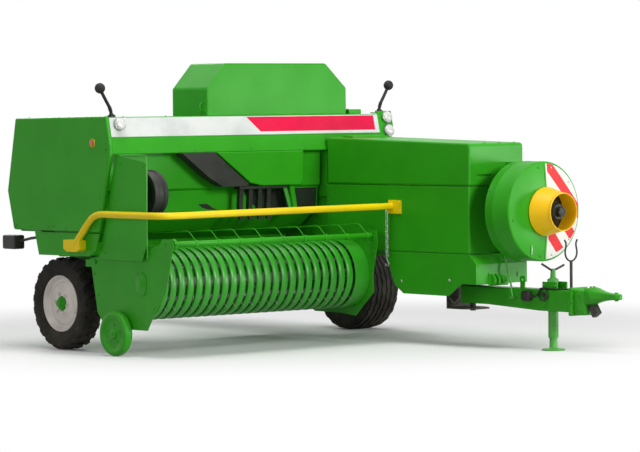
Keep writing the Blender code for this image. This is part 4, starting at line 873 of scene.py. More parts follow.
@dataclass
class PickupUnit(Assembly):
    """The pickup's bands, tined reel, wind guard, gauge wheel and plate fasteners."""

    shape: PickupShape = PickupShape()

    def build(self) -> None:
        """All the pickup's pieces."""
        self.bands()
        self.reel()
        self.wind_guard()
        self.gauge_wheel()
        self.fasteners()

    def bands(self) -> None:
        """Stripper bands with a crowned section, and plain end drums beside the plates.

        The section's points lie at half a band's width times their share across, and at their height
        along the normal of the line that the band follows: straight, half a circle, and straight back.
        """
        s = self.shape
        spans = [(s.first, s.low - s.slot)]
        spans += [(s.low + s.pitch * i, s.low + s.pitch * i + s.pitch - s.slot) for i in range(s.bands)]
        spans += [(s.low + s.pitch * s.bands, s.last)]
        angle = np.radians(np.linspace(90, 270, 41))
        normal_y = np.concatenate([(0.0, 0.0), np.cos(angle), (0.0, 0.0)])[:, None]
        normal_z = np.concatenate([(1.0, 1.0), np.sin(angle), (-1.0, -1.0)])[:, None]
        bend = s.reel_y + s.radius * np.cos(angle)
        line_y = np.concatenate([(s.rear, -0.80), bend, (-0.80, s.rear)])[:, None]
        line_z = s.reel_z + s.radius * normal_z
        crowned = [(-1.0, -0.011), (-0.985, -0.0045), (-0.90, -0.0012), (-0.70, 0.0012), (-0.35, 0.0028),
                   (0.0, 0.0032), (0.35, 0.0028), (0.70, 0.0012), (0.90, -0.0012), (0.985, -0.0045),
                   (1.0, -0.011)]
        plain = [(-1.0, -0.004), (-0.99, 0.0005), (-0.97, 0.002), (0.97, 0.002), (0.99, 0.0005),
                 (1.0, -0.004)]
        draft = MeshDraft()
        for k, (low, high) in enumerate(spans):
            middle, half = (low + high) / 2, (high - low) / 2
            between = 0 < k < len(spans) - 1
            across = crowned if between else plain
            share, height = np.array(across + [(a * 0.97, h - 0.003) for a, h in reversed(across)]).T
            draft.skin(as_points(*at(middle + share * half, line_y + normal_y * height,
                                     line_z + normal_z * height)))
            if between:
                for up in (1, -1):
                    draft.bolt(at(middle, s.rear - 0.035, s.reel_z + up * (s.radius + 0.0015)), (0, 0, up),
                               0.012, 0.005)
        deep = s.radius + 0.004
        draft.box(at(s.first, s.rear - 0.020, s.reel_z - deep), at(s.last, s.rear + 0.020, s.reel_z + deep))
        # The bands' darker green is painted shade.
        self.finish(draft, "pickup_bands_rolled", Finishes.BAND, "pickup", ["pickup_strippers"], 45.0)

    def reel(self) -> None:
        """The reel: shaft, spiders, four tine bars and coiled double tines."""
        s = self.shape
        x0, y0, z0 = at(0.0, s.reel_y, s.reel_z)
        centre = np.array((x0, y0, z0))
        draft = MeshDraft()
        draft.lathe([(s.right - 0.008, 0.0), (s.right - 0.008, 0.016), (s.right - 0.006, 0.018),
                     (s.first + 0.010, 0.018), (s.first + 0.010, 0.035), (s.last - 0.010, 0.035),
                     (s.last - 0.010, 0.018), (s.left + 0.012, 0.018), (s.left + 0.014, 0.016),
                     (s.left + 0.014, 0.0)], (x0, y0, z0), Axis.X, 40, closed=False)
        spider = ((0.0, -0.024), (0.06, -0.013), (0.150, -0.016), (0.160, -0.008),
                  (0.160, 0.008), (0.150, 0.016), (0.06, 0.013), (0.0, 0.024))
        share = np.linspace(0.0, 2.5, 16)
        for quarter in range(4):
            turn = math.radians(45 + 90 * quarter)
            way = np.array((0.0, math.cos(turn), math.sin(turn)))
            side = np.array((0.0, -math.sin(turn), math.cos(turn)))
            bar = centre + way * 0.150
            draft.sweep([bar + (x, 0.0, 0.0) for x in (s.first + 0.012, s.last - 0.012)], 0.010, 16)
            for x in (s.first + 0.030, 0.790, s.last - 0.036):
                draft.prism([centre + (x, 0.0, 0.0) + way * a + side * b for a, b in spider], (0.006, 0, 0))
            coil = 0.0135 * directions(2 * math.pi * share, side, way)
            coil[:, 0] += (share - 1.25) * 0.0042
            tine = [way * out - side * back for out, back in
                    ((0.002, 0.0125), (0.040, 0.0125), (0.080, 0.016), (0.108, 0.022))]
            for i in range(s.bands + 1):
                root = bar + (s.low - s.slot / 2 + s.pitch * i, 0.0, 0.0)
                draft.sweep(root + coil, 0.0021, 6)
                draft.sweep(smooth_path(root + tine, 3), 0.0028, 8)
        self.finish(draft, "pickup_reel_tined", Finishes.STEEL, "reel", ["pickup_reel"], 45.0)

    def wind_guard(self) -> None:
        """The guard's tube, its end collars and nine bent rods that lie over the bands."""
        s = self.shape
        y, z = s.guard_y, s.guard_z
        draft = MeshDraft()
        tube = [(-0.060, 0.0), (-0.060, 0.017), (-0.058, 0.019), (1.690, 0.019), (1.692, 0.017),
                (1.692, 0.0)]
        draft.lathe(tube, at(0.0, y, z), Axis.X, 40, closed=False)
        for low, high, radius in ((s.right - 0.006, -0.058, 0.0098), (1.690, s.left + 0.016, 0.0098)):
            draft.lathe([(low, 0.0), (low, radius), (high, radius), (high, 0.0)], at(0.0, y, z), Axis.X,
                        24, closed=False)
        draft.lathe([(-0.075, 0.0102), (-0.075, 0.033), (-0.072, 0.036), (-0.053, 0.036), (-0.050, 0.033),
                     (-0.050, 0.0102)], at(0.0, y, z), Axis.X, 40)
        draft.bolt(at(-0.0625, y - 0.036, z), FORWARD, 0.011, 0.006)
        for i in range(9):
            x = 0.130 + 0.190 * i
            bends = [(x, y + 0.002, z + 0.014), (x, -1.200, 0.796), (x, -1.168, 0.822), (x, -1.140, 0.834),
                     (x, -1.100, 0.833), (x, -0.920, 0.818), (x, -0.750, 0.812)]
            draft.sweep(smooth_path([at(*p) for p in bends], 5), 0.0030, 10)
            draft.lathe([(x - 0.012, 0.0192), (x - 0.012, 0.0225), (x + 0.012, 0.0225), (x + 0.012, 0.0192)],
                        at(0.0, y, z), Axis.X, 28)
        self.finish(draft, "wind_guard_bent", Finishes.GREEN, "wind_guard", ["wind_guard"], 45.0)

    def gauge_wheel(self) -> None:
        """The pressed gauge wheel, dished on both sides."""
        half, x = 0.0325, -0.170
        side = [(-1.0, 0.0115), (-1.0, 0.022), (-0.98, 0.029), (-0.92, 0.031), (-0.52, 0.034), (-0.42, 0.045),
                (-0.38, 0.070), (-0.42, 0.092), (-0.60, 0.102), (-0.88, 0.110), (-0.97, 0.117),
                (-1.0, 0.126), (-0.97, 0.134), (-0.88, 0.141), (-0.72, 0.145), (-0.50, 0.148),
                (-0.25, 0.1495)]
        section = [(a * half, r) for a, r in side] + [(-a * half, r) for a, r in reversed(side)]
        draft = MeshDraft()
        centre = at(x, -0.742, 0.150)
        draft.lathe(section, centre, Axis.X, 72)
        pin = [(-half - 0.003, 0.0), (-half - 0.003, 0.010), (-half + 0.002, 0.0108), (-half + 0.002, 0.0)]
        draft.lathe(pin, centre, Axis.X, 24, closed=False)
        draft.bolt_circle(at(x - half * 0.40, -0.742, 0.150), Axis.X, 0.060, range(20, 380, 72), RIGHTWARD,
                          0.011, 0.005)
        self.finish(draft, "gauge_wheel_dished", Finishes.GREEN, "gauge_wheel", ["gauge_wheel"], 45.0)

    def fasteners(self) -> None:
        """Bolts and bearing plates on the two side plates."""
        s = self.shape
        draft = MeshDraft()
        outside = s.right
        for y, z in ((-0.935, 0.545), (-1.005, 0.545), (-0.935, 0.425), (-1.005, 0.425)):
            draft.bolt(at(outside, y, z), RIGHTWARD, 0.016, 0.007)
        for y, z in ((-0.460, 0.540), (-0.500, 0.400), (-1.180, 0.720), (-1.100, 0.330), (-0.640, 0.225)):
            draft.bolt(at(outside, y, z), RIGHTWARD, 0.013, 0.005)
        angle = turns(32)[:, None]
        lobe = 1.0 + 0.25 * np.abs(np.cos(2 * angle + math.pi / 2))
        bore, outer = 0.0195, np.array((1, 0, 0, 1))
        across = np.cos(angle) * np.where(outer, 0.052 * lobe, bore)
        tall = np.sin(angle) * np.where(outer, 0.078, bore)
        deep = np.array((0.0, 0.0, 0.010, 0.004))
        draft.skin(as_points(*at(outside - deep, s.reel_y + across, s.reel_z + tall)), wrap_rings=True,
                   capped=False)
        cap = [(-0.0140, 0.0), (-0.0140, 0.020), (-0.0120, 0.0245), (-0.0060, 0.0245), (-0.0060, 0.0197),
               (-0.0100, 0.0197), (-0.0100, 0.0)]
        draft.lathe(cap, at(s.right, s.reel_y, s.reel_z), Axis.X, 36, closed=False)
        for x, way in ((s.left, -1), (s.left + s.sheet, 1)):
            for y, z in ((-1.200, 0.700), (-1.235, 0.640), (-1.180, 0.420), (-1.020, 0.260), (-0.560, 0.380)):
                draft.bolt(at(x, y, z), (way, 0, 0), 0.013, 0.005)
        self.finish(draft, "pickup_plate_bolts", Finishes.GREEN, "pickup", [], 45.0)


@dataclass
class DriveLine(Assembly):
    """The flywheel cover with its hazard board, the cone, the clutch and the feeder's pulley."""

    shaft_x: float = 2.120
    shaft_z: float = 0.932
    cover_radius: float = 0.3375
    rear: float = -2.270
    front: float = -2.510
    cone_end: float = -2.700

    def build(self) -> None:
        """All the drive's pieces."""
        self.cover()
        self.cone()
        self.flywheel()
        self.pulley()

    @property
    def centre(self) -> Point:
        """World point on the shaft where the layout's Y is 0."""
        return at(self.shaft_x, 0.0, self.shaft_z)

    def screw_ring(self, draft: MeshDraft, y: float, radius: float, degrees: Iterable[float], across: float,
                   height: float) -> None:
        """Bolts round the shaft that face the tractor."""
        draft.bolt_circle(at(self.shaft_x, y, self.shaft_z), Axis.Y, radius, degrees, FORWARD, across,
                          height)

    def cover(self) -> None:
        """The dished sheet cover with its rolled rim, stays and screws, and the hazard board's screws."""
        r, rear, front, flat = self.cover_radius, self.rear, self.front, 0.142
        dish = front + 0.016
        outside = [(rear, r), (rear - 0.060, r), (rear - 0.064, r + 0.0015), (rear - 0.074, r + 0.0015),
                   (rear - 0.078, r), (dish + 0.012, r), (dish + 0.007, r - 0.0006),
                   (dish + 0.003, r - 0.003), (dish + 0.0005, r - 0.007), (dish - 0.0003, r - 0.011),
                   (front, flat), (front, 0.110)]
        inside = [(front + 0.006, 0.110), (front + 0.006, flat - 0.002), (dish + 0.006, r - 0.014),
                  (dish + 0.012, r - 0.006), (rear, r - 0.006)]
        draft = MeshDraft()
        draft.lathe(outside + inside, self.centre, Axis.Y, 128)
        hub = np.array(at(self.shaft_x, rear - 0.020, self.shaft_z))
        low, high, half = r - 0.036, r - 0.0065, 0.014
        for degrees, length in ((84, 0.1777), (62, 0.1777), (-57, 0.1897)):
            turn = math.radians(degrees)
            way = np.array((math.cos(turn), 0.0, math.sin(turn)))
            side = np.array((-math.sin(turn), 0.0, math.cos(turn)))
            draft.prism([hub + way * out + side * across for out, across in
                         ((low, -half), (high, -half), (high, half), (low, half))], (0.0, length, 0.0))
        for turn in np.radians(np.arange(20, 380, 45)):
            spot = at(self.shaft_x + (r - 0.0005) * math.cos(turn), rear - 0.030,
                      self.shaft_z + (r - 0.0005) * math.sin(turn))
            draft.bolt(spot, (math.cos(turn), 0, math.sin(turn)), 0.010, 0.004)
        self.screw_ring(draft, front + 0.013, 0.300, (100, 190, 262), 0.013, 0.004)
        self.finish(draft, "flywheel_cover_dished", Finishes.GREEN, "baler", ["flywheel_cover"], 35.0)

        screws = MeshDraft()
        self.screw_ring(screws, front + 0.0095, 0.300, (-78, -40, 0, 40, 78), 0.010, 0.004)
        screws.sweep([at(self.shaft_x - 0.1293, front + 0.006, z) for z in (0.706, 0.6435)], 0.0038, 12)
        self.finish(screws, "hazard_board_screws", Finishes.STEEL, "baler", [], 45.0)

    def cone(self) -> None:
        """The plastic cone round the power shaft: a wide foot on the cover and a rolled mouth."""
        foot, mouth = self.front - 0.0036, self.cone_end + 0.020
        outside = [(foot, 0.1640), (foot - 0.002, 0.1655), (foot - 0.005, 0.1655), (foot - 0.009, 0.1645),
                   (foot - 0.020, 0.1612), (foot - 0.040, 0.1555), (foot - 0.065, 0.1492),
                   (foot - 0.095, 0.1420), (mouth + 0.030, 0.1300), (mouth + 0.012, 0.1272),
                   (mouth + 0.008, 0.1290), (mouth + 0.003, 0.1290), (mouth, 0.1265)]
        inside = [(mouth + 0.001, 0.1225), (mouth + 0.012, 0.1225), (foot - 0.060, 0.1450),
                  (foot - 0.012, 0.1545), (foot, 0.1545)]
        clamp = MeshDraft()
        clamp.lathe([(foot, 0.104), (foot, 0.1540), (foot - 0.004, 0.1540), (foot - 0.006, 0.1500),
                     (foot - 0.006, 0.108), (foot - 0.004, 0.104)], self.centre, Axis.Y, 72)
        self.screw_ring(clamp, foot - 0.006, 0.130, range(22, 382, 60), 0.014, 0.006)
        self.finish(clamp, "cone_clamp_ring", Finishes.DARK, "baler", [], 45.0)
        draft = MeshDraft()
        draft.lathe(outside + inside, self.centre, Axis.Y, 112)
        # The cone's finish glows: painted light on its shaded side.
        self.finish(draft, "shaft_cone_rolled", Finishes.CONE, "baler", ["shaft_cone"], 45.0)

    def flywheel(self) -> None:
        """The flywheel, the clutch plates and the splined input, which turn together."""
        rim, web = self.cover_radius - 0.0475, self.cover_radius - 0.1375
        wheel = [(-0.020, 0.031), (-0.020, 0.060), (-0.030, web), (-0.012, web + 0.025),
                 (-0.010, web + 0.030), (-0.010, rim - 0.003), (-0.013, rim), (-0.077, rim),
                 (-0.080, rim - 0.003), (-0.080, web + 0.030), (-0.078, web + 0.025), (-0.060, web),
                 (-0.070, 0.060), (-0.070, 0.031)]
        draft = MeshDraft()
        draft.lathe(wheel, at(self.shaft_x, self.rear, self.shaft_z), Axis.Y, 96)
        self.finish(draft, "flywheel_turned", Finishes.GREEN, "flywheel", ["flywheel"], 40.0)

        clutch = [(0.040, 0.031), (0.040, 0.080), (0.024, 0.080), (0.022, 0.074), (0.016, 0.074),
                  (0.014, 0.080), (-0.020, 0.080), (-0.025, 0.090), (-0.027, 0.092), (-0.058, 0.092),
                  (-0.060, 0.090), (-0.065, 0.070), (-0.118, 0.056), (-0.124, 0.050), (-0.125, 0.031)]
        plates = MeshDraft()
        plates.lathe(clutch, at(self.shaft_x, self.front, self.shaft_z), Axis.Y, 72)
        for ahead, across, height in ((0.0605, 0.013, 0.007), (0.064, 0.006, 0.012)):
            self.screw_ring(plates, self.front - ahead, 0.080, range(10, 370, 45), across, height)
        self.finish(plates, "clutch_plates", Finishes.IRON, "flywheel", [], 40.0)
        self.splined_shaft()

    def splined_shaft(self) -> None:
        """The input shaft: six splines whose tips shrink at the end, a round shank and a centre boss.

        A spline's place lies at radius * shrink * (cos, sin), with two places high and two low in turn.
        """
        end, root = self.cone_end, 0.030
        shaft = MeshDraft()
        angle = turns(24)
        radius = np.where((np.arange(24) // 2) % 2 == 0, 0.035, root)
        y, shrink = np.array(((end + 0.0315, 0.97), (end + 0.033, 1.0), (end + 0.070, 1.0))).T[..., None]
        rings = as_points(*at(self.shaft_x + shrink * radius * np.cos(angle), y,
                         self.shaft_z + shrink * radius * np.sin(angle)))
        shaft.skin(rings, capped=False)
        shaft.add(rings[0], [range(len(angle))])
        low, high = end + 0.070, self.rear + 0.055
        shank = [(low, 0.0), (low, root), (high, root), (high, 0.0)]
        shaft.lathe(shank, self.centre, Axis.Y, 40, closed=False)
        shaft.lathe([(end + 0.030, 0.0), (end + 0.030, 0.022), (end + 0.033, 0.026)], self.centre, Axis.Y, 32,
                    closed=False)
        self.finish(shaft, "shaft_splined", Finishes.IRON, "flywheel", [], 40.0)

    def pulley(self) -> None:
        """The feeder drive's dished black pulley."""
        x, y, z = 0.027, -0.850, 1.080
        bore = 0.0185
        face = [(x - 0.057, bore), (x - 0.057, 0.038), (x - 0.055, 0.040), (x - 0.042, 0.045),
                (x - 0.038, 0.060), (x - 0.036, 0.090), (x - 0.040, 0.116), (x - 0.048, 0.124),
                (x - 0.057, 0.130), (x - 0.0575, 0.150), (x - 0.056, 0.156), (x - 0.050, 0.160),
                (x - 0.030, 0.1605), (x - 0.018, 0.150), (x + 0.018, 0.150), (x + 0.030, 0.1605),
                (x + 0.050, 0.160), (x + 0.056, 0.156), (x + 0.057, 0.150), (x + 0.057, bore)]
        draft = MeshDraft()
        draft.lathe(face, at(0.0, y, z), Axis.X, 72)
        draft.bolt(at(x - 0.062, y, z), RIGHTWARD, 0.024, 0.010)
        self.finish(draft, "feeder_pulley_dished", Finishes.DARK, "feeder_pulley", ["feeder_pulley"], 40.0)


@dataclass
class FrontDeck(Assembly):
    """Lamps, markers, the rail with its chain, and the hoods' hardware."""

    front_low: float = -0.658
    front_top: float = -0.600
    low: float = 1.345
    top: float = 1.595

    def build(self) -> None:
        """All the front deck's pieces."""
        self.lamps()
        self.markers()
        self.rail()
        self.chain()
        self.hood_hardware()

    @property
    def lean(self) -> float:
        """The deck front's lean from upright, in radians."""
        return math.atan2(self.front_top - self.front_low, self.top - self.low)

    def on_slope(self, x: float, up: float, outward: float) -> Point:
        """World point on the deck's front: x, height up the slope, distance off it."""
        lean = self.lean
        y = self.front_low + 0.006 - CLEARANCE + up * math.sin(lean) - outward * math.cos(lean)
        z = self.low + up * math.cos(lean) + outward * math.sin(lean)
        return at(x, y, z)

    def lamps(self) -> None:
        """Round reflectors: a rim, and a domed clear lens whose facets ripple round it."""
        slope = math.hypot(self.front_top - self.front_low, self.top - self.low)
        middle = (0.118 + CLEARANCE + slope - 0.006) / 2
        spots = (           # name, x, height up the slope, distance off it, radius, depth
            ("front_lamp", -0.023, middle + 0.018, 0.0063, 0.045, 0.034),
            ("left_lamp_lower", 2.410, 0.130, 0.0053, 0.044, 0.039),
            ("left_lamp_upper", 2.410, 0.228, 0.0053, 0.044, 0.039),
        )
        for name, x, up, near, radius, deep in spots:
            base = np.array(self.on_slope(x, up, near))
            out = np.array(self.on_slope(x, up, near + 1.0)) - base
            self.dome(name + "_rim", Finishes.STEEL, base, out, [
                (0.0, radius - 0.001), (0.001, radius), (deep * 0.50, radius), (deep * 0.58, radius - 0.001),
                (deep * 0.60, radius - 0.003), (deep * 0.56, radius - 0.0045)])
            self.dome(name + "_lens", Finishes.LENS, base, out, [
                (deep * 0.40, radius - 0.005), (deep * 0.60, radius - 0.005), (deep * 0.80, radius * 0.74),
                (deep * 0.92, radius * 0.45), (deep * 0.97, radius * 0.20), (deep, 0.001)], radius, [name])

    def dome(self, name: str, finish: Finishes, base: np.ndarray, out: np.ndarray, profile: Outline,
             rippled: float = 0.0, replaced: Sequence[str] = ()) -> None:
        """A round piece about a leaning line, through (lift, reach) pairs.

        Args:
            name: The piece's name.
            finish: Its finish.
            base: The point that it stands on.
            out: The unit direction that it faces.
            profile: The height above the base and the radius of each ring.
            rippled: The radius at which its facets ripple fully, or 0 for none: the lift there is
                raised by 0.6 mm * cos(16 * angle), and less towards the middle.
            replaced: The CAD nodes that it stands for.
        """
        side = np.array((1.0, 0.0, 0.0))
        angle = turns(64)
        lift, reach = np.array(profile).T[..., None]
        if rippled:
            lift = lift + 0.0006 * np.cos(angle * 16) * np.minimum(1.0, reach / rippled)
        draft = MeshDraft()
        around = directions(angle, side, np.cross(out, side))
        draft.skin(base + np.broadcast_to(lift, (len(profile), len(angle)))[..., None] * out
                   + reach[..., None] * around)
        self.finish(draft, name, finish, "baler", replaced, 60.0 if rippled else 35.0)

    def markers(self) -> None:
        """The two stalked width markers with flattened balls."""
        for name, (x, y, z), way in (("right_marker", (-0.046, -0.560, 1.5953), -1),
                                     ("left_marker", (2.388, -0.560, 1.6063), 1)):
            draft = MeshDraft()
            draft.box(at(x - 0.02, y - 0.02, z), at(x + 0.02, y + 0.02, z + 0.012))
            draft.lathe([(0.0, 0.0), (0.0, 0.019), (0.020, 0.017), (0.024, 0.0135), (0.024, 0.0)],
                        at(x, y, z), Axis.Z, 28, closed=False)
            path = smooth_path([at(x, y, z + 0.020), at(x + way * 0.014, y, z + 0.062),
                                at(x + way * 0.048, y, z + 0.116), at(x + way * 0.088, y, z + 0.180)], 5)
            draft.sweep(path, 0.0112, 20)
            for low, high in zip(np.array(path[2:6]), np.array(path[3:7])):
                draft.sweep([low, low + (high - low) * 0.4], 0.0135, 20)
            ball = [(math.cos(t) * 0.035, max(math.sin(t) * 0.036, 0.0)) for t in np.linspace(math.pi, 0, 17)]
            draft.lathe(ball, at(x + way * 0.094, y, z + 0.194), Axis.Y, 48, closed=False)
            for side in (-0.014, 0.014):
                draft.bolt(at(x + side, y - 0.014, z + 0.012), UPWARD, 0.006, 0.004)
            self.finish(draft, name + "_stalk", Finishes.HOSE, "baler", [name], 45.0)

    def rail(self) -> None:
        """The yellow safety rail with its swept bends, foot clamp and end plate."""
        radius = 0.023
        x, front, side = -0.250 + radius, -1.330, -0.1903
        rise = ((-0.375, 0.735), (-0.450, 0.810), (-0.520, 0.878), (-0.552, 0.906), (-0.590, 0.929),
                (-0.635, 0.943), (-0.690, 0.9475), (-0.760, 0.9475), (-0.900, 0.947), (-1.050, 0.947),
                (-1.160, 0.947), (-1.220, 0.947))
        corners = [(x, y, z) for y, z in rise]
        corners += [(x + 0.006, -1.262, 0.947), (x + 0.027, -1.303, 0.947), (x + 0.060, -1.323, 0.947),
                    (x + 0.100, front, 0.947), (x + 0.150, front, 0.947), (x + 0.250, front, 0.9475),
                    (0.400, front, 0.950), (1.200, front, 0.954), (1.797, front, 0.957)]
        draft = MeshDraft()
        draft.sweep(smooth_path([at(*p) for p in corners], 5), radius, 32)
        draft.box(at(1.792, -1.430, 0.905), at(1.7997, -1.300, 1.000))
        for y, z in ((-1.415, 0.920), (-1.415, 0.985), (-1.312, 0.985), (-1.312, 0.915)):
            draft.bolt(at(1.792, y, z), RIGHTWARD, 0.012, 0.006)
        clamp = x - 0.020
        foot = ((-0.450, 0.706), (-0.420, 0.690), (-0.306, 0.690), (-0.270, 0.710), (-0.270, 0.764),
                (-0.276, 0.770), (-0.440, 0.770), (-0.450, 0.760))
        draft.prism([at(clamp, y, z) for y, z in foot], (side - clamp, 0, 0))
        for y in (-0.335, -0.420):
            draft.bolt(at(clamp, y, 0.710), RIGHTWARD, 0.016, 0.003)
        self.finish(draft, "guard_rail_bent", Finishes.YELLOW, "baler", ["guard_rail"], 40.0)

    def chain(self) -> None:
        """The lift chain: round welded links, each turned a quarter from the last, and the hook at its end.

        A link's line is a stretched circle: its upper half is raised and its lower half dropped.
        """
        draft = MeshDraft()
        x, y, top = at(1.750, -1.330, 0.9305)
        angle = turns(24)
        across = 0.0082 * np.cos(angle)
        tall = 0.0085 * np.sin(angle) + np.where(np.sin(angle) > 0, 0.0125, -0.0125)
        for i in range(9):
            z = top - 0.020 - 0.036 * i
            link = as_points(x + across * (i % 2 == 0), y + across * (i % 2), z + tall)
            draft.sweep(link, 0.0030, 10, closed=True)
        hook = [(x, y, z - 0.018), (x, y, z - 0.036), (x, y - 0.010, z - 0.050), (x, y - 0.018, z - 0.064),
                (x, y - 0.008, z - 0.078), (x, y + 0.010, z - 0.076), (x, y + 0.014, z - 0.062)]
        draft.sweep(smooth_path(hook, 5), 0.0035, 10)
        self.finish(draft, "lift_chain_links", Finishes.STEEL, "baler", ["lift_chain"], 60.0)

    def hood_hardware(self) -> None:
        """Reflector with its bezel, hood screws, the tall hood's latch and its hinge."""
        reflector = MeshDraft()
        centre = at(0.0, -0.552, 1.423)
        reflector.lathe([(-0.2003, 0.0235), (-0.2045, 0.0235), (-0.2075, 0.021), (-0.2082, 0.014),
                         (-0.2085, 0.0)], centre, Axis.X, 48, closed=False)
        self.finish(reflector, "hood_reflector_lens", Finishes.RED_LENS, "baler", ["hood_reflector"], 60.0)
        bezel = MeshDraft()
        bezel.lathe([(-0.2003, 0.0240), (-0.2060, 0.0240), (-0.2072, 0.0255), (-0.2066, 0.0275),
                     (-0.2003, 0.0285)], centre, Axis.X, 48)
        self.finish(bezel, "hood_reflector_bezel", Finishes.YELLOW, "baler", [], 60.0)

        draft = MeshDraft()
        for y, z in ((-0.690, 1.380), (-0.620, 1.060), (-0.560, 0.860), (-0.100, 0.860), (0.330, 0.860)):
            draft.bolt(at(-0.200, y, z), RIGHTWARD, 0.012, 0.004)
        for y, z in ((-0.800, 1.290), (-1.040, 1.270), (-1.030, 0.700), (-0.620, 0.690)):
            draft.bolt(at(-0.160, y, z), RIGHTWARD, 0.011, 0.004)
        out = tuple(np.array(self.on_slope(0.0, 0.0, 1.0)) - np.array(self.on_slope(0.0, 0.0, 0.0)))
        for x in (0.10, 0.60, 1.10, 1.60):
            draft.bolt(self.on_slope(x, 0.018, 0.004), out, 0.009, 0.003)
        self.finish(draft, "hood_screws", Finishes.GREEN, "baler", [], 45.0)

        latch = MeshDraft()
        face = np.array(at(0.820, -0.475, 1.640))
        plate = ((-0.030, -0.020), (0.030, -0.020), (0.030, 0.055), (0.012, 0.070), (-0.030, 0.070))
        latch.prism([face + (0, y, z) for y, z in plate], (-0.006, 0, 0))
        handle = ((-0.006, 0.045), (-0.024, 0.042), (-0.030, 0.020), (-0.024, -0.004), (-0.006, -0.007))
        latch.sweep(smooth_path([face + (x, 0, z) for x, z in handle], 5), 0.0045, 12)
        for y, z in ((-0.018, -0.010), (0.018, -0.010), (-0.018, 0.058)):
            latch.bolt(tuple(face + (-0.006, y, z)), RIGHTWARD, 0.009, 0.004)
        deck_leaf = MeshDraft()
        for x in (0.980, 1.465, 1.950):
            middle, rear, _ = at(x, -0.130, 0.0)
            latch.prism([(middle + a, rear, z) for a, z in
                         ((-0.042, 1.613), (0.042, 1.613), (0.042, 1.640), (0.034, 1.660), (-0.034, 1.660),
                          (-0.042, 1.640))], (0, 0.003, 0))
            deck_leaf.prism([(middle + a, rear + b, 1.595) for a, b in
                             ((-0.040, 0.014), (0.040, 0.014), (0.040, 0.034), (0.034, 0.044),
                              (-0.034, 0.044), (-0.040, 0.034))], (0, 0, 0.0025))
            for side in (-0.024, 0.024):
                latch.bolt((middle + side, rear + 0.003, 1.640), BACKWARD, 0.009, 0.004)
                deck_leaf.bolt((middle + side, rear + 0.032, 1.5970), UPWARD, 0.008, 0.0022)
        self.finish(deck_leaf, "hinge_leaves", Finishes.GREEN, "baler", [], 45.0)
        self.finish(latch, "tall_hood_hardware", Finishes.GREEN, "tall_hood", [], 45.0)


@dataclass
class FeederMouth(Assembly):
    """What shows in the feeder's mouth behind the packer forks: black sheets that paint its shade, a strut, a
    plate.
    """

    wall_y: float = 0.190
    wall_z: float = 0.940
    lean: float = -0.090

    def build(self) -> None:
        """Black sheets that paint the shade in the mouth and in the small pointed slot, the leaning strut and
        the iron plate.
        """
        # The black mouth and slot sheets are painted shade on the wall.
        shade_sheet = MeshDraft()
        mouth = ((-0.167, 1.078), (-0.150, 1.040), (-0.100, 0.985), (-0.050, 0.955), (-0.030, 0.943),
                 (0.505, 0.943), (0.505, 1.078))
        slot = ((-0.572, 0.988), (-0.535, 0.962), (-0.480, 0.948), (-0.393, 0.942), (-0.440, 0.958),
                (-0.4925, 0.988))
        self.sheet(shade_sheet, mouth, 0.0, 0.0030)
        self.sheet(shade_sheet, slot, 0.0, 0.0012)
        self.finish(shade_sheet, "feeder_mouth_painted_shade", Finishes.HOSE, "baler", [], 45.0)
        plate = MeshDraft()
        self.sheet(plate, ((0.215, 1.070), (0.215, 0.960), (0.240, 0.950), (0.490, 0.950), (0.490, 1.070)),
                   0.010, 0.004)
        for x, z in ((0.240, 1.055), (0.465, 1.055), (0.465, 0.965), (0.260, 0.965)):
            plate.bolt((x, self.on_wall(z) - 0.014, z), FORWARD, 0.012, 0.005)
        self.finish(plate, "feeder_plate", Finishes.IRON, "baler", [], 45.0)
        strut = MeshDraft()
        front = 0.098
        leaning = ((0.118, 1.100), (0.150, 1.100), (0.212, 0.915), (0.180, 0.915))
        strut.prism([(x, front, z) for x, z in leaning], (0.0, -0.008, 0.0))
        strut.box((0.116, front, 1.098), (0.152, 0.170, 1.104))
        strut.bolt((0.139, 0.090, 1.086), FORWARD, 0.012, 0.006)
        # The strut's lighter green is a painted highlight.
        self.finish(strut, "feeder_strut", Finishes.GREEN_PAINTED_HIGHLIGHT, "baler", [], 45.0)

    def on_wall(self, z: float) -> float:
        """World Y of the leaning wall at height z: wall_y + lean * (z - wall_z)."""
        return self.wall_y + self.lean * (z - self.wall_z)

    def sheet(self, draft: MeshDraft, outline: Outline, off: float, thick: float) -> None:
        """A flat sheet on the wall, from its outline in X and Z."""
        draft.prism([(x, self.on_wall(z) - off, z) for x, z in outline], (0.0, -thick, 0.0))


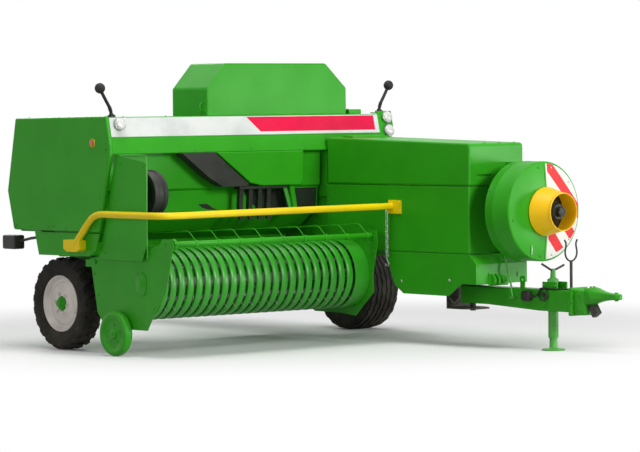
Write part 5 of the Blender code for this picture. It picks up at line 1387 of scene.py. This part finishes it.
@dataclass
class SheetEdges(Assembly):
    """Folded rims and screws of the big sheets on the sides, the back and the top, and the twine box's door.
    """

    def build(self) -> None:
        """Rims of the side guard in a lighter green that paints a highlight along its edges, screws along the
        sheets, and the twine box's rear door.
        """
        # Thin bars of the lighter green along the side guard's edges: a painted highlight.
        rims = MeshDraft()
        x = -1.4445
        for path in ([(x, -0.3545, 0.660), (x, -0.3545, 1.340)], [(x, 0.037, 1.340), (x, 0.113, 0.975)]):
            rims.sweep(path, 0.0035, 10)
        self.finish(rims, "guard_rim_painted_highlight", Finishes.GREEN_PAINTED_HIGHLIGHT, "baler", [], 40.0)
        self.screws()
        self.twine_door()

    @staticmethod
    def hit(node: str, start: Point, way: Point) -> Optional[tuple[Point, Point]]:
        """Where a straight line from start along way first meets a node, and the face's normal there."""
        item = frame["nodes"][node]
        back = item.matrix_world.inverted()
        found, spot, normal, _ = item.ray_cast(back @ Vector(start), back.to_3x3() @ Vector(way))
        if not found:
            return None
        return tuple(item.matrix_world @ spot), tuple((item.matrix_world.to_3x3() @ normal).normalized())

    def screws(self) -> None:
        """Rows of small screws, each laid where its line meets the sheet."""
        rows = (            # node, axis of the line, side it comes from, first place, last place, count
            ("bale_chamber", 0, 1, (0.25, 0.655), (1.70, 0.655), 9),
            ("bale_chamber", 0, 1, (0.25, 1.015), (1.70, 1.015), 9),
            ("bale_chamber", 0, -1, (0.70, 0.655), (1.70, 0.655), 7),
            ("bale_chamber", 0, -1, (0.70, 1.015), (1.70, 1.015), 7),
            ("plunger_case", 0, 1, (-1.30, 0.670), (0.02, 0.670), 8),
            ("plunger_case", 0, 1, (-1.30, 1.080), (0.02, 1.080), 8),
            ("case_lid", 0, 1, (-1.30, 1.130), (0.0, 1.130), 6),
            ("case_skirt", 0, 1, (-1.35, 0.615), (-0.62, 0.615), 5),
            ("knotter_case", 0, 1, (0.14, 1.310), (0.58, 1.310), 4),
            ("knotter_case", 0, 1, (0.14, 1.060), (0.58, 1.060), 4),
            ("side_hood", 0, -1, (0.10, 0.850), (1.08, 0.850), 6),
            ("twine_box", 1, 1, (-1.41, 0.835), (-0.53, 0.835), 7),
            ("twine_box", 1, 1, (-1.41, 1.570), (-0.53, 1.570), 7),
            ("cross_deck", 1, 1, (-0.44, 1.370), (1.00, 1.370), 9),
            ("tall_hood", 1, 1, (-0.38, 1.625), (0.76, 1.625), 7),
            ("case_lid", 2, 1, (0.70, -1.340), (0.98, -1.340), 3),
            ("twine_box", 2, 1, (-1.38, 1.030), (-0.56, 1.030), 5),
            ("cross_deck", 2, 1, (0.90, 0.120), (0.90, 0.600), 4),
            ("cross_deck", 2, 1, (-0.52, 0.120), (-0.52, 0.600), 4),
        )
        away, squareness = 4.0, 0.6
        draft = MeshDraft()
        for node, axis, side, first, last, count in rows:
            for share in np.linspace(0.0, 1.0, count):
                place = [f + (l - f) * share for f, l in zip(first, last)]
                place.insert(axis, away * side)
                way = tuple(-float(side) if i == axis else 0.0 for i in range(3))
                met = self.hit(node, tuple(place), way)
                if met and abs(met[1][axis]) > squareness:
                    draft.bolt(met[0], met[1], 0.012, 0.0045)
        self.finish(draft, "sheet_screws", Finishes.GREEN, "baler", [], 45.0)

    def twine_door(self) -> None:
        """A flat door on the twine box's back, with two strap hinges and a turned latch."""
        met = self.hit("twine_box", (-0.95, 4.0, 1.20), (0.0, -1.0, 0.0))
        if not met:
            return
        y = met[0][1] + CLEARANCE
        door = MeshDraft()
        corner, low, high, left, right = 0.030, 0.880, 1.520, -1.370, -0.580
        outline = [(left, low + corner), (left + corner, low), (right - corner, low), (right, low + corner),
                   (right, high - corner), (right - corner, high), (left + corner, high),
                   (left, high - corner)]
        door.prism([(x, y, z) for x, z in outline], (0.0, 0.004, 0.0))
        inner = [(x * 0.94 + (left + right) * 0.03, z * 0.92 + (low + high) * 0.04) for x, z in outline]
        door.prism([(x, y + 0.004, z) for x, z in inner], (0.0, 0.003, 0.0))
        for x in (left + 0.16, right - 0.16):
            strap = ((-0.016, -0.10), (0.016, -0.10), (0.020, 0.012), (-0.020, 0.012))
            door.prism([(x + a, y + 0.004, high + b) for a, b in strap], (0.0, 0.005, 0.0))
            door.sweep([(x + a, y + 0.006, high + 0.014) for a in (-0.035, 0.035)], 0.0055, 14)
            door.bolt((x, y + 0.009, high - 0.080), BACKWARD, 0.011, 0.005)
            door.bolt((x, y + 0.009, high - 0.035), BACKWARD, 0.011, 0.005)
        middle = (left + right) / 2
        door.lathe([(0.007, 0.0), (0.007, 0.022), (0.013, 0.022), (0.016, 0.018), (0.016, 0.0)],
                   (middle, y, low + 0.060), Axis.Y, 28, closed=False)
        door.box((middle - 0.006, y + 0.016, low + 0.030), (middle + 0.006, y + 0.024, low + 0.092))
        self.finish(door, "twine_box_door", Finishes.GREEN, "baler", [], 45.0)


@dataclass
class DrawbarUnit(Assembly):
    """The drawbar's flange bolts, its smooth jack with a crank, the shaft fork and the hitch."""

    x: float = 2.120
    y: float = -1.800
    low: float = 0.266
    high: float = 0.410
    half: float = 0.0625
    length: float = 1.000
    jack: float = 0.774

    def build(self) -> None:
        """All the drawbar's pieces, and the lock on the skirt beside it."""
        self.jack_unit()
        self.fork()
        self.hitch()
        self.bolts()
        self.coupler_lead()
        self.lock()

    def along(self, across: float, ahead: float, z: float) -> Point:
        """World point from places across the drawbar and ahead of its pivot (ahead is negative)."""
        return at(self.x + across, self.y + ahead, z)

    def jack_unit(self) -> None:
        """The jack's tube with its cap and crank, and the leg with a dished foot."""
        centre = self.along(0.0, -self.jack, 0.0)
        tube = MeshDraft()
        section = [(0.085, 0.0275), (0.085, 0.0335), (0.086, 0.0345), (0.444, 0.0345), (0.4445, 0.0355),
                   (0.4475, 0.0385), (0.474, 0.0385), (0.478, 0.0375), (0.484, 0.028), (0.487, 0.0200),
                   (0.500, 0.0185), (0.520, 0.0172), (0.536, 0.0160), (0.545, 0.0158), (0.549, 0.0135),
                   (0.550, 0.0), (0.445, 0.0), (0.445, 0.0275)]
        tube.lathe(section, centre, Axis.Z, 56)
        crank = [self.along(a, -self.jack, z) for a, z in
                 ((-0.105, 0.584), (-0.060, 0.562), (-0.022, 0.543), (0.0, 0.537), (0.022, 0.542),
                  (0.060, 0.554), (0.105, 0.570))]
        bar = MeshDraft()
        bar.sweep(smooth_path(crank, 5), 0.0075, 16)
        self.finish(bar, "jack_crank", Finishes.DARK, "tongue", [], 40.0)
        tube.bolt(self.along(-0.038, -self.jack, 0.462), RIGHTWARD, 0.011, 0.008)
        tube.bolt(self.along(0.038, -self.jack, 0.462), LEFTWARD, 0.011, 0.006)
        # The jack tube's lighter green is a painted highlight.
        self.finish(tube, "jack_tube_round", Finishes.GREEN_PAINTED_HIGHLIGHT, "tongue", ["jack_tube"], 40.0)
        leg = MeshDraft()
        leg.lathe([(0.0, 0.0), (0.0, 0.074), (0.002, 0.079), (0.006, 0.080), (0.010, 0.077), (0.013, 0.060),
                   (0.014, 0.036), (0.020, 0.0285), (0.024, 0.027), (0.328, 0.027), (0.330, 0.025),
                   (0.330, 0.0)], centre, Axis.Z, 56, closed=False)
        # The leg's lighter green is a painted highlight.
        self.finish(leg, "jack_leg_round", Finishes.GREEN_PAINTED_HIGHLIGHT, "jack_leg", ["jack_leg"], 40.0)

    def fork(self) -> None:
        """The U-shaped rest that holds the drive shaft when it isn't coupled."""
        ahead = -(self.length - 0.056)
        draft = MeshDraft()
        centre = self.along(0.0, ahead, 0.0)
        draft.lathe([(0.4103, 0.0), (0.4103, 0.018), (0.419, 0.018), (0.4215, 0.0165), (0.4225, 0.010),
                     (0.605, 0.010), (0.605, 0.0)], centre, Axis.Z, 32, closed=False)
        bend = [(-0.060, 0.748), (-0.047, 0.722)]
        bend += [(0.056 * math.sin(t), 0.665 - 0.060 * math.cos(t))
                 for t in [math.radians(a) for a in range(-110, 111, 11)]]
        bend += [(0.047, 0.722), (0.060, 0.748)]
        draft.sweep(smooth_path([self.along(a, ahead, z) for a, z in bend], 3), 0.006, 16)
        self.finish(draft, "shaft_fork_bent", Finishes.DARK, "tongue", ["shaft_fork"], 40.0)

    def hitch(self) -> None:
        """The cast hitch: a bolted block, a ribbed collar, a flat nose, and a dark catch under it."""
        draft = MeshDraft()
        rear, block = -self.length - 0.0153, -self.length - 0.1153
        rows = ((rear, 0.050), (rear - 0.002, 0.052), (block + 0.010, 0.052), (block, 0.046))
        self.loft(draft, [(ahead, self.rounded(wide, 0.250 + (0.052 - wide), 0.418 - (0.052 - wide), 0.010))
                          for ahead, wide in rows])
        throat = [(block + 0.004, 0.050, 0.318, 0.430, 0.020), (block - 0.030, 0.055, 0.322, 0.437, 0.045),
                  (block - 0.052, 0.057, 0.322, 0.439, 0.052), (block - 0.060, 0.052, 0.327, 0.436, 0.045),
                  (block - 0.072, 0.050, 0.331, 0.434, 0.040), (block - 0.092, 0.043, 0.338, 0.426, 0.030),
                  (block - 0.130, 0.034, 0.348, 0.414, 0.018), (block - 0.170, 0.029, 0.354, 0.406, 0.012),
                  (block - 0.220, 0.029, 0.359, 0.401, 0.009), (block - 0.252, 0.029, 0.360, 0.400, 0.009),
                  (block - 0.272, 0.023, 0.361, 0.399, 0.009), (block - 0.284, 0.012, 0.364, 0.396, 0.008)]
        self.loft(draft, [(ahead, self.rounded(wide, low, high, corner))
                          for ahead, wide, low, high, corner in throat])
        nose = self.along(0.0, -1.358, 0.0)
        draft.lathe([(0.352, 0.0), (0.352, 0.011), (0.355, 0.013), (0.360, 0.013), (0.400, 0.013),
                     (0.406, 0.013), (0.410, 0.010), (0.411, 0.0)], nose, Axis.Z, 32, closed=False)
        for ahead, z in ((block - 0.010, 0.438), (block - 0.040, 0.441)):
            draft.bolt(self.along(0.0, ahead, z - 0.004), UPWARD, 0.014, 0.008)
        for a, way in ((-0.052, -1), (0.052, 1)):
            for z in (0.285, 0.385):
                draft.bolt(self.along(a, rear - 0.050, z), (way, 0, 0), 0.014, 0.007)
        self.finish(draft, "hitch_cast", Finishes.GREEN, "tongue", ["hitch"], 40.0)

        catch = MeshDraft()
        tilt, half = math.radians(-32), np.array((0.020, 0.0, 0.0))
        middle = np.array(self.along(0.0, -1.1535, 0.295))
        across = np.array((0.0, math.cos(tilt), math.sin(tilt)))
        up = np.array((0.0, -math.sin(tilt), math.cos(tilt)))
        outline = [(-0.030, -0.050), (0.026, -0.052), (0.030, -0.030), (0.022, -0.012), (0.030, 0.010),
                   (0.030, 0.050), (-0.014, 0.050), (-0.030, 0.020)]
        catch.prism([middle - half + across * a + up * b for a, b in outline], tuple(2 * half))
        for way in (-1, 1):
            catch.bolt(tuple(middle + half * way + up * 0.010), (way, 0, 0), 0.018, 0.008)
        self.finish(catch, "hitch_catch", Finishes.DARK, "tongue", [], 40.0)

    @staticmethod
    def rounded(wide: float, low: float, high: float, corner: float) -> np.ndarray:
        """A rectangle from -wide to wide and low to high, as (across, up) rows.

        Each corner is a quarter circle: its centre + corner * (cos, sin), a step every 15 degrees.
        """
        corner = min(corner, wide * 0.96, (high - low) * 0.48)
        angle = np.radians(np.arange(0, 91, 15)) + np.arange(4)[:, None] * math.pi / 2
        sides, heights = np.array(((1, high - corner), (-1, high - corner), (-1, low + corner),
                                   (1, low + corner))).T[..., None]
        across = sides * (wide - corner) + corner * np.cos(angle)
        up = heights + corner * np.sin(angle)
        return np.stack([across.ravel(), up.ravel()], axis=-1)

    def loft(self, draft: MeshDraft, rows: Sequence[tuple[float, np.ndarray]]) -> None:
        """A skin over sections that stand one behind the other along the bar, with closed ends."""
        sections = np.array([section for _, section in rows])
        ahead = np.array([place for place, _ in rows])[:, None]
        draft.skin(as_points(*self.along(sections[..., 0], ahead, sections[..., 1])))

    def bolts(self) -> None:
        """Bolts through the flange, on both its faces, and the clamp plates' bolts."""
        draft = MeshDraft()
        for a in (-0.0700, 0.0700):
            for z in (self.low - 0.008, (self.low + self.high) / 2, self.high + 0.008):
                draft.bolt(self.along(a, -self.length - 0.0155, z), FORWARD, 0.013, 0.009)
                draft.bolt(self.along(a, -self.length + 0.002, z), BACKWARD, 0.013, 0.010)
        for x, way in ((-0.052, -1), (0.052, 1)):
            for ahead in (-self.jack - 0.068, -self.jack + 0.034):
                draft.bolt(self.along(x, ahead, self.high + 0.030), (way, 0, 0), 0.016, 0.009)
        self.finish(draft, "drawbar_bolts", Finishes.GREEN, "tongue", [], 45.0)

    def coupler_lead(self) -> None:
        """The lamps' coupler with its cap, and the lead that runs over the bar to the fork's foot.

        The coupler's rings are rounded squares: a point lies at (|cos|^5 + |sin|^5)^(-1/5) times its
        ring's width and height.
        """
        box = MeshDraft()
        x = -self.half - CLEARANCE
        rows = ((0.0, 0.036, 0.033), (0.002, 0.038, 0.035), (0.030, 0.038, 0.035), (0.036, 0.034, 0.031),
                (0.0395, 0.028, 0.025), (0.040, 0.010, 0.008))
        ahead, middle = -0.600, 0.3625
        out, wide, tall = np.array(rows).T[..., None]
        angle = np.radians(np.arange(0, 360, 10))
        reach = (np.abs(np.cos(angle)) ** 5 + np.abs(np.sin(angle)) ** 5) ** (-1 / 5)
        box.skin(as_points(*self.along(x - out, ahead + wide * reach * np.cos(angle),
                                  middle + tall * reach * np.sin(angle))))
        for aside, z in ((-0.615, 0.375), (-0.585, 0.375), (-0.615, 0.350), (-0.585, 0.350)):
            box.bolt(self.along(x - 0.036, aside, z), RIGHTWARD, 0.006, 0.004)
        spout = ((-0.6355, 0.0), (-0.6355, 0.012), (-0.648, 0.012), (-0.652, 0.009), (-0.664, 0.008),
                 (-0.664, 0.0))
        box.lathe(spout, self.along(x - 0.020, 0.0, 0.362), Axis.Y, 24, closed=False)
        self.finish(box, "lamp_coupler_capped", Finishes.HOSE, "tongue", ["lamp_coupler"], 40.0)

        lead = MeshDraft()
        path = [(x - 0.020, -0.655, 0.362), (x - 0.020, -0.690, 0.364), (x - 0.018, -0.712, 0.385),
                (x - 0.010, -0.722, 0.412), (x - 0.004, -0.726, 0.418), (-0.058, -0.745, 0.4185),
                (-0.059, -0.800, 0.4165), (-0.0585, -0.870, 0.4165), (-0.050, -0.900, 0.4165),
                (-0.020, -0.918, 0.4165), (-0.018, -0.960, 0.4165)]
        lead.sweep(smooth_path([self.along(*p) for p in path], 6), 0.0055, 12)
        loop = [(-0.070, -0.705, 0.372), (-0.080, -0.730, 0.352), (-0.084, -0.752, 0.338),
                (-0.080, -0.775, 0.346), (-0.074, -0.790, 0.372), (-0.072, -0.782, 0.402),
                (-0.072, -0.756, 0.416), (-0.073, -0.728, 0.404), (-0.070, -0.705, 0.372)]
        lead.sweep(smooth_path([self.along(*p) for p in loop], 5), 0.0055, 12)
        button = ((-0.016, 0.0), (-0.016, 0.010), (-0.012, 0.014), (0.0, 0.014), (0.0, 0.0))
        for place, z in ((-0.748, 0.377), (-0.770, 0.362)):
            lead.lathe(button, self.along(x, place, z), Axis.X, 20, closed=False)
        self.finish(lead, "coupler_lead", Finishes.HOSE, "tongue", [], 45.0)

    def lock(self) -> None:
        """The drawbar's lock on the skirt: two ribs, a nut with its washer, and the pull rod."""
        face = -2.1625
        draft = MeshDraft()
        rib = ((0.0, 0.432), (-0.030, 0.432), (-0.046, 0.446), (-0.046, 0.478), (-0.020, 0.506), (0.0, 0.506))
        for x, wide in ((1.932, 0.016), (1.972, 0.014)):
            draft.prism([at(x, face + ahead, z) for ahead, z in rib], (wide, 0.0, 0.0))
        plate = ((1.916, 0.426), (2.100, 0.426), (2.100, 0.506), (2.085, 0.516), (1.916, 0.516))
        draft.prism([at(x, face, z) for x, z in plate], (0.0, -0.006, 0.0))
        washer = ((0.0, 0.0), (0.0, 0.036), (-0.005, 0.036), (-0.006, 0.034), (-0.006, 0.026),
                  (-0.028, 0.024), (-0.030, 0.020), (-0.030, 0.0))
        draft.lathe(washer, at(2.0415, face - 0.006, 0.468), Axis.Y, 36, closed=False)
        draft.bolt(at(2.0415, face - 0.036, 0.468), FORWARD, 0.022, 0.010)
        # A thin black box on the skirt paints the shade of a slot.
        slot = MeshDraft()
        slot.box(at(2.186, face - 0.0012, 0.478), at(2.194, face, 0.512))
        self.finish(slot, "skirt_slot_painted_shade", Finishes.HOSE, "baler", [], 45.0)
        rod = MeshDraft()
        rod.sweep([at(2.0525, -2.180, 0.632), at(2.0580, -2.240, 0.4175)], 0.0070, 12)
        # The pull rod's lighter green is a painted highlight.
        self.finish(rod, "pull_rod", Finishes.GREEN_PAINTED_HIGHLIGHT, "baler", [], 45.0)
        self.finish(draft, "drawbar_lock", Finishes.GREEN, "baler", [], 45.0)

        foot, side, thick = MeshDraft(), -self.half, 0.018
        foot.sweep([self.along(-0.069, -0.441, 0.4105), self.along(-0.073, -0.462, 0.352)], 0.0070, 12)
        foot.box(self.along(side - thick, -0.485, 0.338), self.along(side, -0.440, 0.352))
        for ahead in (-0.476, -0.449):
            foot.bolt(self.along(side - thick, ahead, 0.345), RIGHTWARD, 0.009, 0.005)
        # The foot's lighter green is a painted highlight.
        self.finish(foot, "pull_rod_foot", Finishes.GREEN_PAINTED_HIGHLIGHT, "tongue", [], 45.0)

        x = 1.812
        wire = MeshDraft()
        bends = ((-1.868, 0.372), (-1.878, 0.350), (-1.930, 0.308), (-1.938, 0.308), (-1.985, 0.341),
                 (-1.992, 0.368))
        wire.sweep(smooth_path([at(x, y, z) for y, z in bends], 4), 0.0042, 10)
        self.finish(wire, "skirt_wire", Finishes.DARK, "baler", [], 45.0)
        hook = MeshDraft()
        hook.bolt(at(1.800, -1.900, 0.462), RIGHTWARD, 0.015, 0.006)
        hook.bolt(at(1.800, -1.420, 0.440), RIGHTWARD, 0.013, 0.005)
        self.finish(hook, "skirt_hook", Finishes.STEEL, "baler", [], 45.0)


@dataclass
class Studio(Assembly):
    """Floor, lights and the photograph's camera."""

    image_width: int = 640
    focal_pixels: float = 3194.5
    azimuth: float = math.radians(-41.226)
    elevation: float = math.radians(2.156)
    roll: float = math.radians(-0.581)
    camera_at: Point = (-14.4465, -16.9216, 1.6573)
    sensor: float = 36.0
    shadow_middle: Point = (0.9, 1.0, 0.0)
    fade: tuple[float, float] = (2.0, 4.3)
    floor_for_light: Colour = (0.42, 0.42, 0.42)
    floor_for_eye: Colour = (0.93, 0.925, 0.93)
    ambient: float = 0.15
    aim: Point = (0.0, -0.2, 0.8)

    def build(self) -> None:
        """The whole studio, with plain display colours."""
        self.camera()
        self.floor()
        self.world()
        self.lights()
        bpy.context.scene.view_settings.view_transform = "Standard"

    def camera(self) -> None:
        """The camera that the photograph was solved with: turned by azimuth, elevation and roll."""
        az, el, roll = self.azimuth, self.elevation, self.roll
        back = Vector((math.sin(az) * math.cos(el), -math.cos(az) * math.cos(el), math.sin(el)))
        right = Vector((math.cos(az), math.sin(az), 0.0))
        up = back.cross(right)
        c, s = math.cos(roll), math.sin(roll)
        matrix = Matrix((c * right + s * up, c * up - s * right, back)).transposed().to_4x4()
        matrix.translation = Vector(self.camera_at)
        data = bpy.data.cameras.new("photo_view")
        data.sensor_width = self.sensor
        data.lens = self.focal_pixels / self.image_width * self.sensor
        data.clip_end = 200.0
        camera = bpy.data.objects.new("photo_view", data)
        camera.matrix_world = matrix
        bpy.context.scene.collection.objects.link(camera)
        bpy.context.scene.camera = camera

    def floor(self) -> None:
        """A wide floor that fades to plain white away from the machine and keeps its shadow."""
        mesh = bpy.data.meshes.new("studio_floor")
        reach, cells, below = 60.0, 12, 0.0005
        ticks = np.linspace(-reach, reach, cells + 1)
        x, y = np.meshgrid(ticks, ticks, indexing="ij")
        index = np.arange(x.size).reshape(x.shape)
        quads = np.stack([index[:-1, :-1], index[1:, :-1], index[1:, 1:], index[:-1, 1:]], axis=-1)
        points = np.stack([x, y, np.full_like(x, -below)], axis=-1)
        mesh.from_pydata(points.reshape(-1, 3).tolist(), [], quads.reshape(-1, 4).tolist())
        floor = bpy.data.objects.new("studio_floor", mesh)
        bpy.context.scene.collection.objects.link(floor)
        material = bpy.data.materials.new("studio_floor")
        material.use_nodes = True
        tree = NodeTree(material.node_tree)
        shader = material.node_tree.nodes["Principled BSDF"]
        tree.fill(shader, Roughness=0.9, Specular_IOR_Level=0.1)
        glow = tree.add("ShaderNodeEmission", in_Strength=1.0)
        shifted = tree.add("ShaderNodeVectorMath", operation="SUBTRACT")
        tree.link(tree.add("ShaderNodeTexCoord").outputs["Object"], shifted.inputs[0])
        shifted.inputs[1].default_value = self.shadow_middle
        distance = tree.add("ShaderNodeVectorMath", operation="LENGTH")
        tree.link(shifted.outputs[0], distance.inputs[0])
        far = tree.ramp(distance.outputs["Value"], *self.fade)
        seen = tree.seen()
        tree.link(tree.mix(seen, self.floor_for_light, self.floor_for_eye), shader.inputs["Base Color"])
        blend = tree.add("ShaderNodeMixShader")
        tree.link(tree.math("MULTIPLY", far, seen), blend.inputs[0])
        tree.link(shader.outputs[0], blend.inputs[1])
        tree.link(glow.outputs[0], blend.inputs[2])
        tree.link(blend.outputs[0], material.node_tree.nodes["Material Output"].inputs["Surface"])
        mesh.materials.append(material)

    def world(self) -> None:
        """A white surround for the eye and for mirrors, which lights the machine only weakly."""
        world = bpy.data.worlds.new("studio")
        bpy.context.scene.world = world
        world.use_nodes = True
        tree = NodeTree(world.node_tree)
        background = world.node_tree.nodes["Background"]
        tree.fill(background, Color=(1.0, 1.0, 1.0, 1.0))
        level = tree.math("ADD", tree.math("MULTIPLY", tree.seen(), 1.0 - self.ambient), self.ambient)
        tree.link(level, background.inputs["Strength"])

    def lights(self) -> None:
        """Five square lamps: a broad key in front, weak ones on both sides, one behind and one above."""
        table = (           # name, place, size, power
            ("key", (0.8, -12.5, 5.0), 3.5, 840.0),
            ("right", (6.6, -8.2, 0.95), 1.7, 230.0),
            ("left", (-9.5, -3.5, 2.6), 3.0, 130.0),
            ("rear", (3.5, 9.0, 5.5), 3.5, 330.0),
            ("top", (-1.8, -0.8, 9.0), 5.0, 420.0),
        )
        for name, place, size, power in table:
            data = bpy.data.lights.new(name, "AREA")
            data.shape, data.size, data.energy = "SQUARE", size, power
            light = bpy.data.objects.new(name, data)
            light.location = place
            light.rotation_mode = "QUATERNION"
            light.rotation_quaternion = (Vector(self.aim) - Vector(place)).to_track_quat("-Z", "Y")
            bpy.context.scene.collection.objects.link(light)


def main() -> None:
    """Dresses the carried nodes, builds the finer pieces and sets up the studio."""
    logging.basicConfig(level=logging.INFO)
    library = MaterialLibrary()
    for kind in (Studio, CarriedNodes, RunningGear, PickupUnit, DriveLine, FrontDeck, DrawbarUnit,
                 FeederMouth, SheetEdges):
        kind(library).build()
        LOG.info("built %s", kind.__name__)


if __name__ == "__main__":
    main()
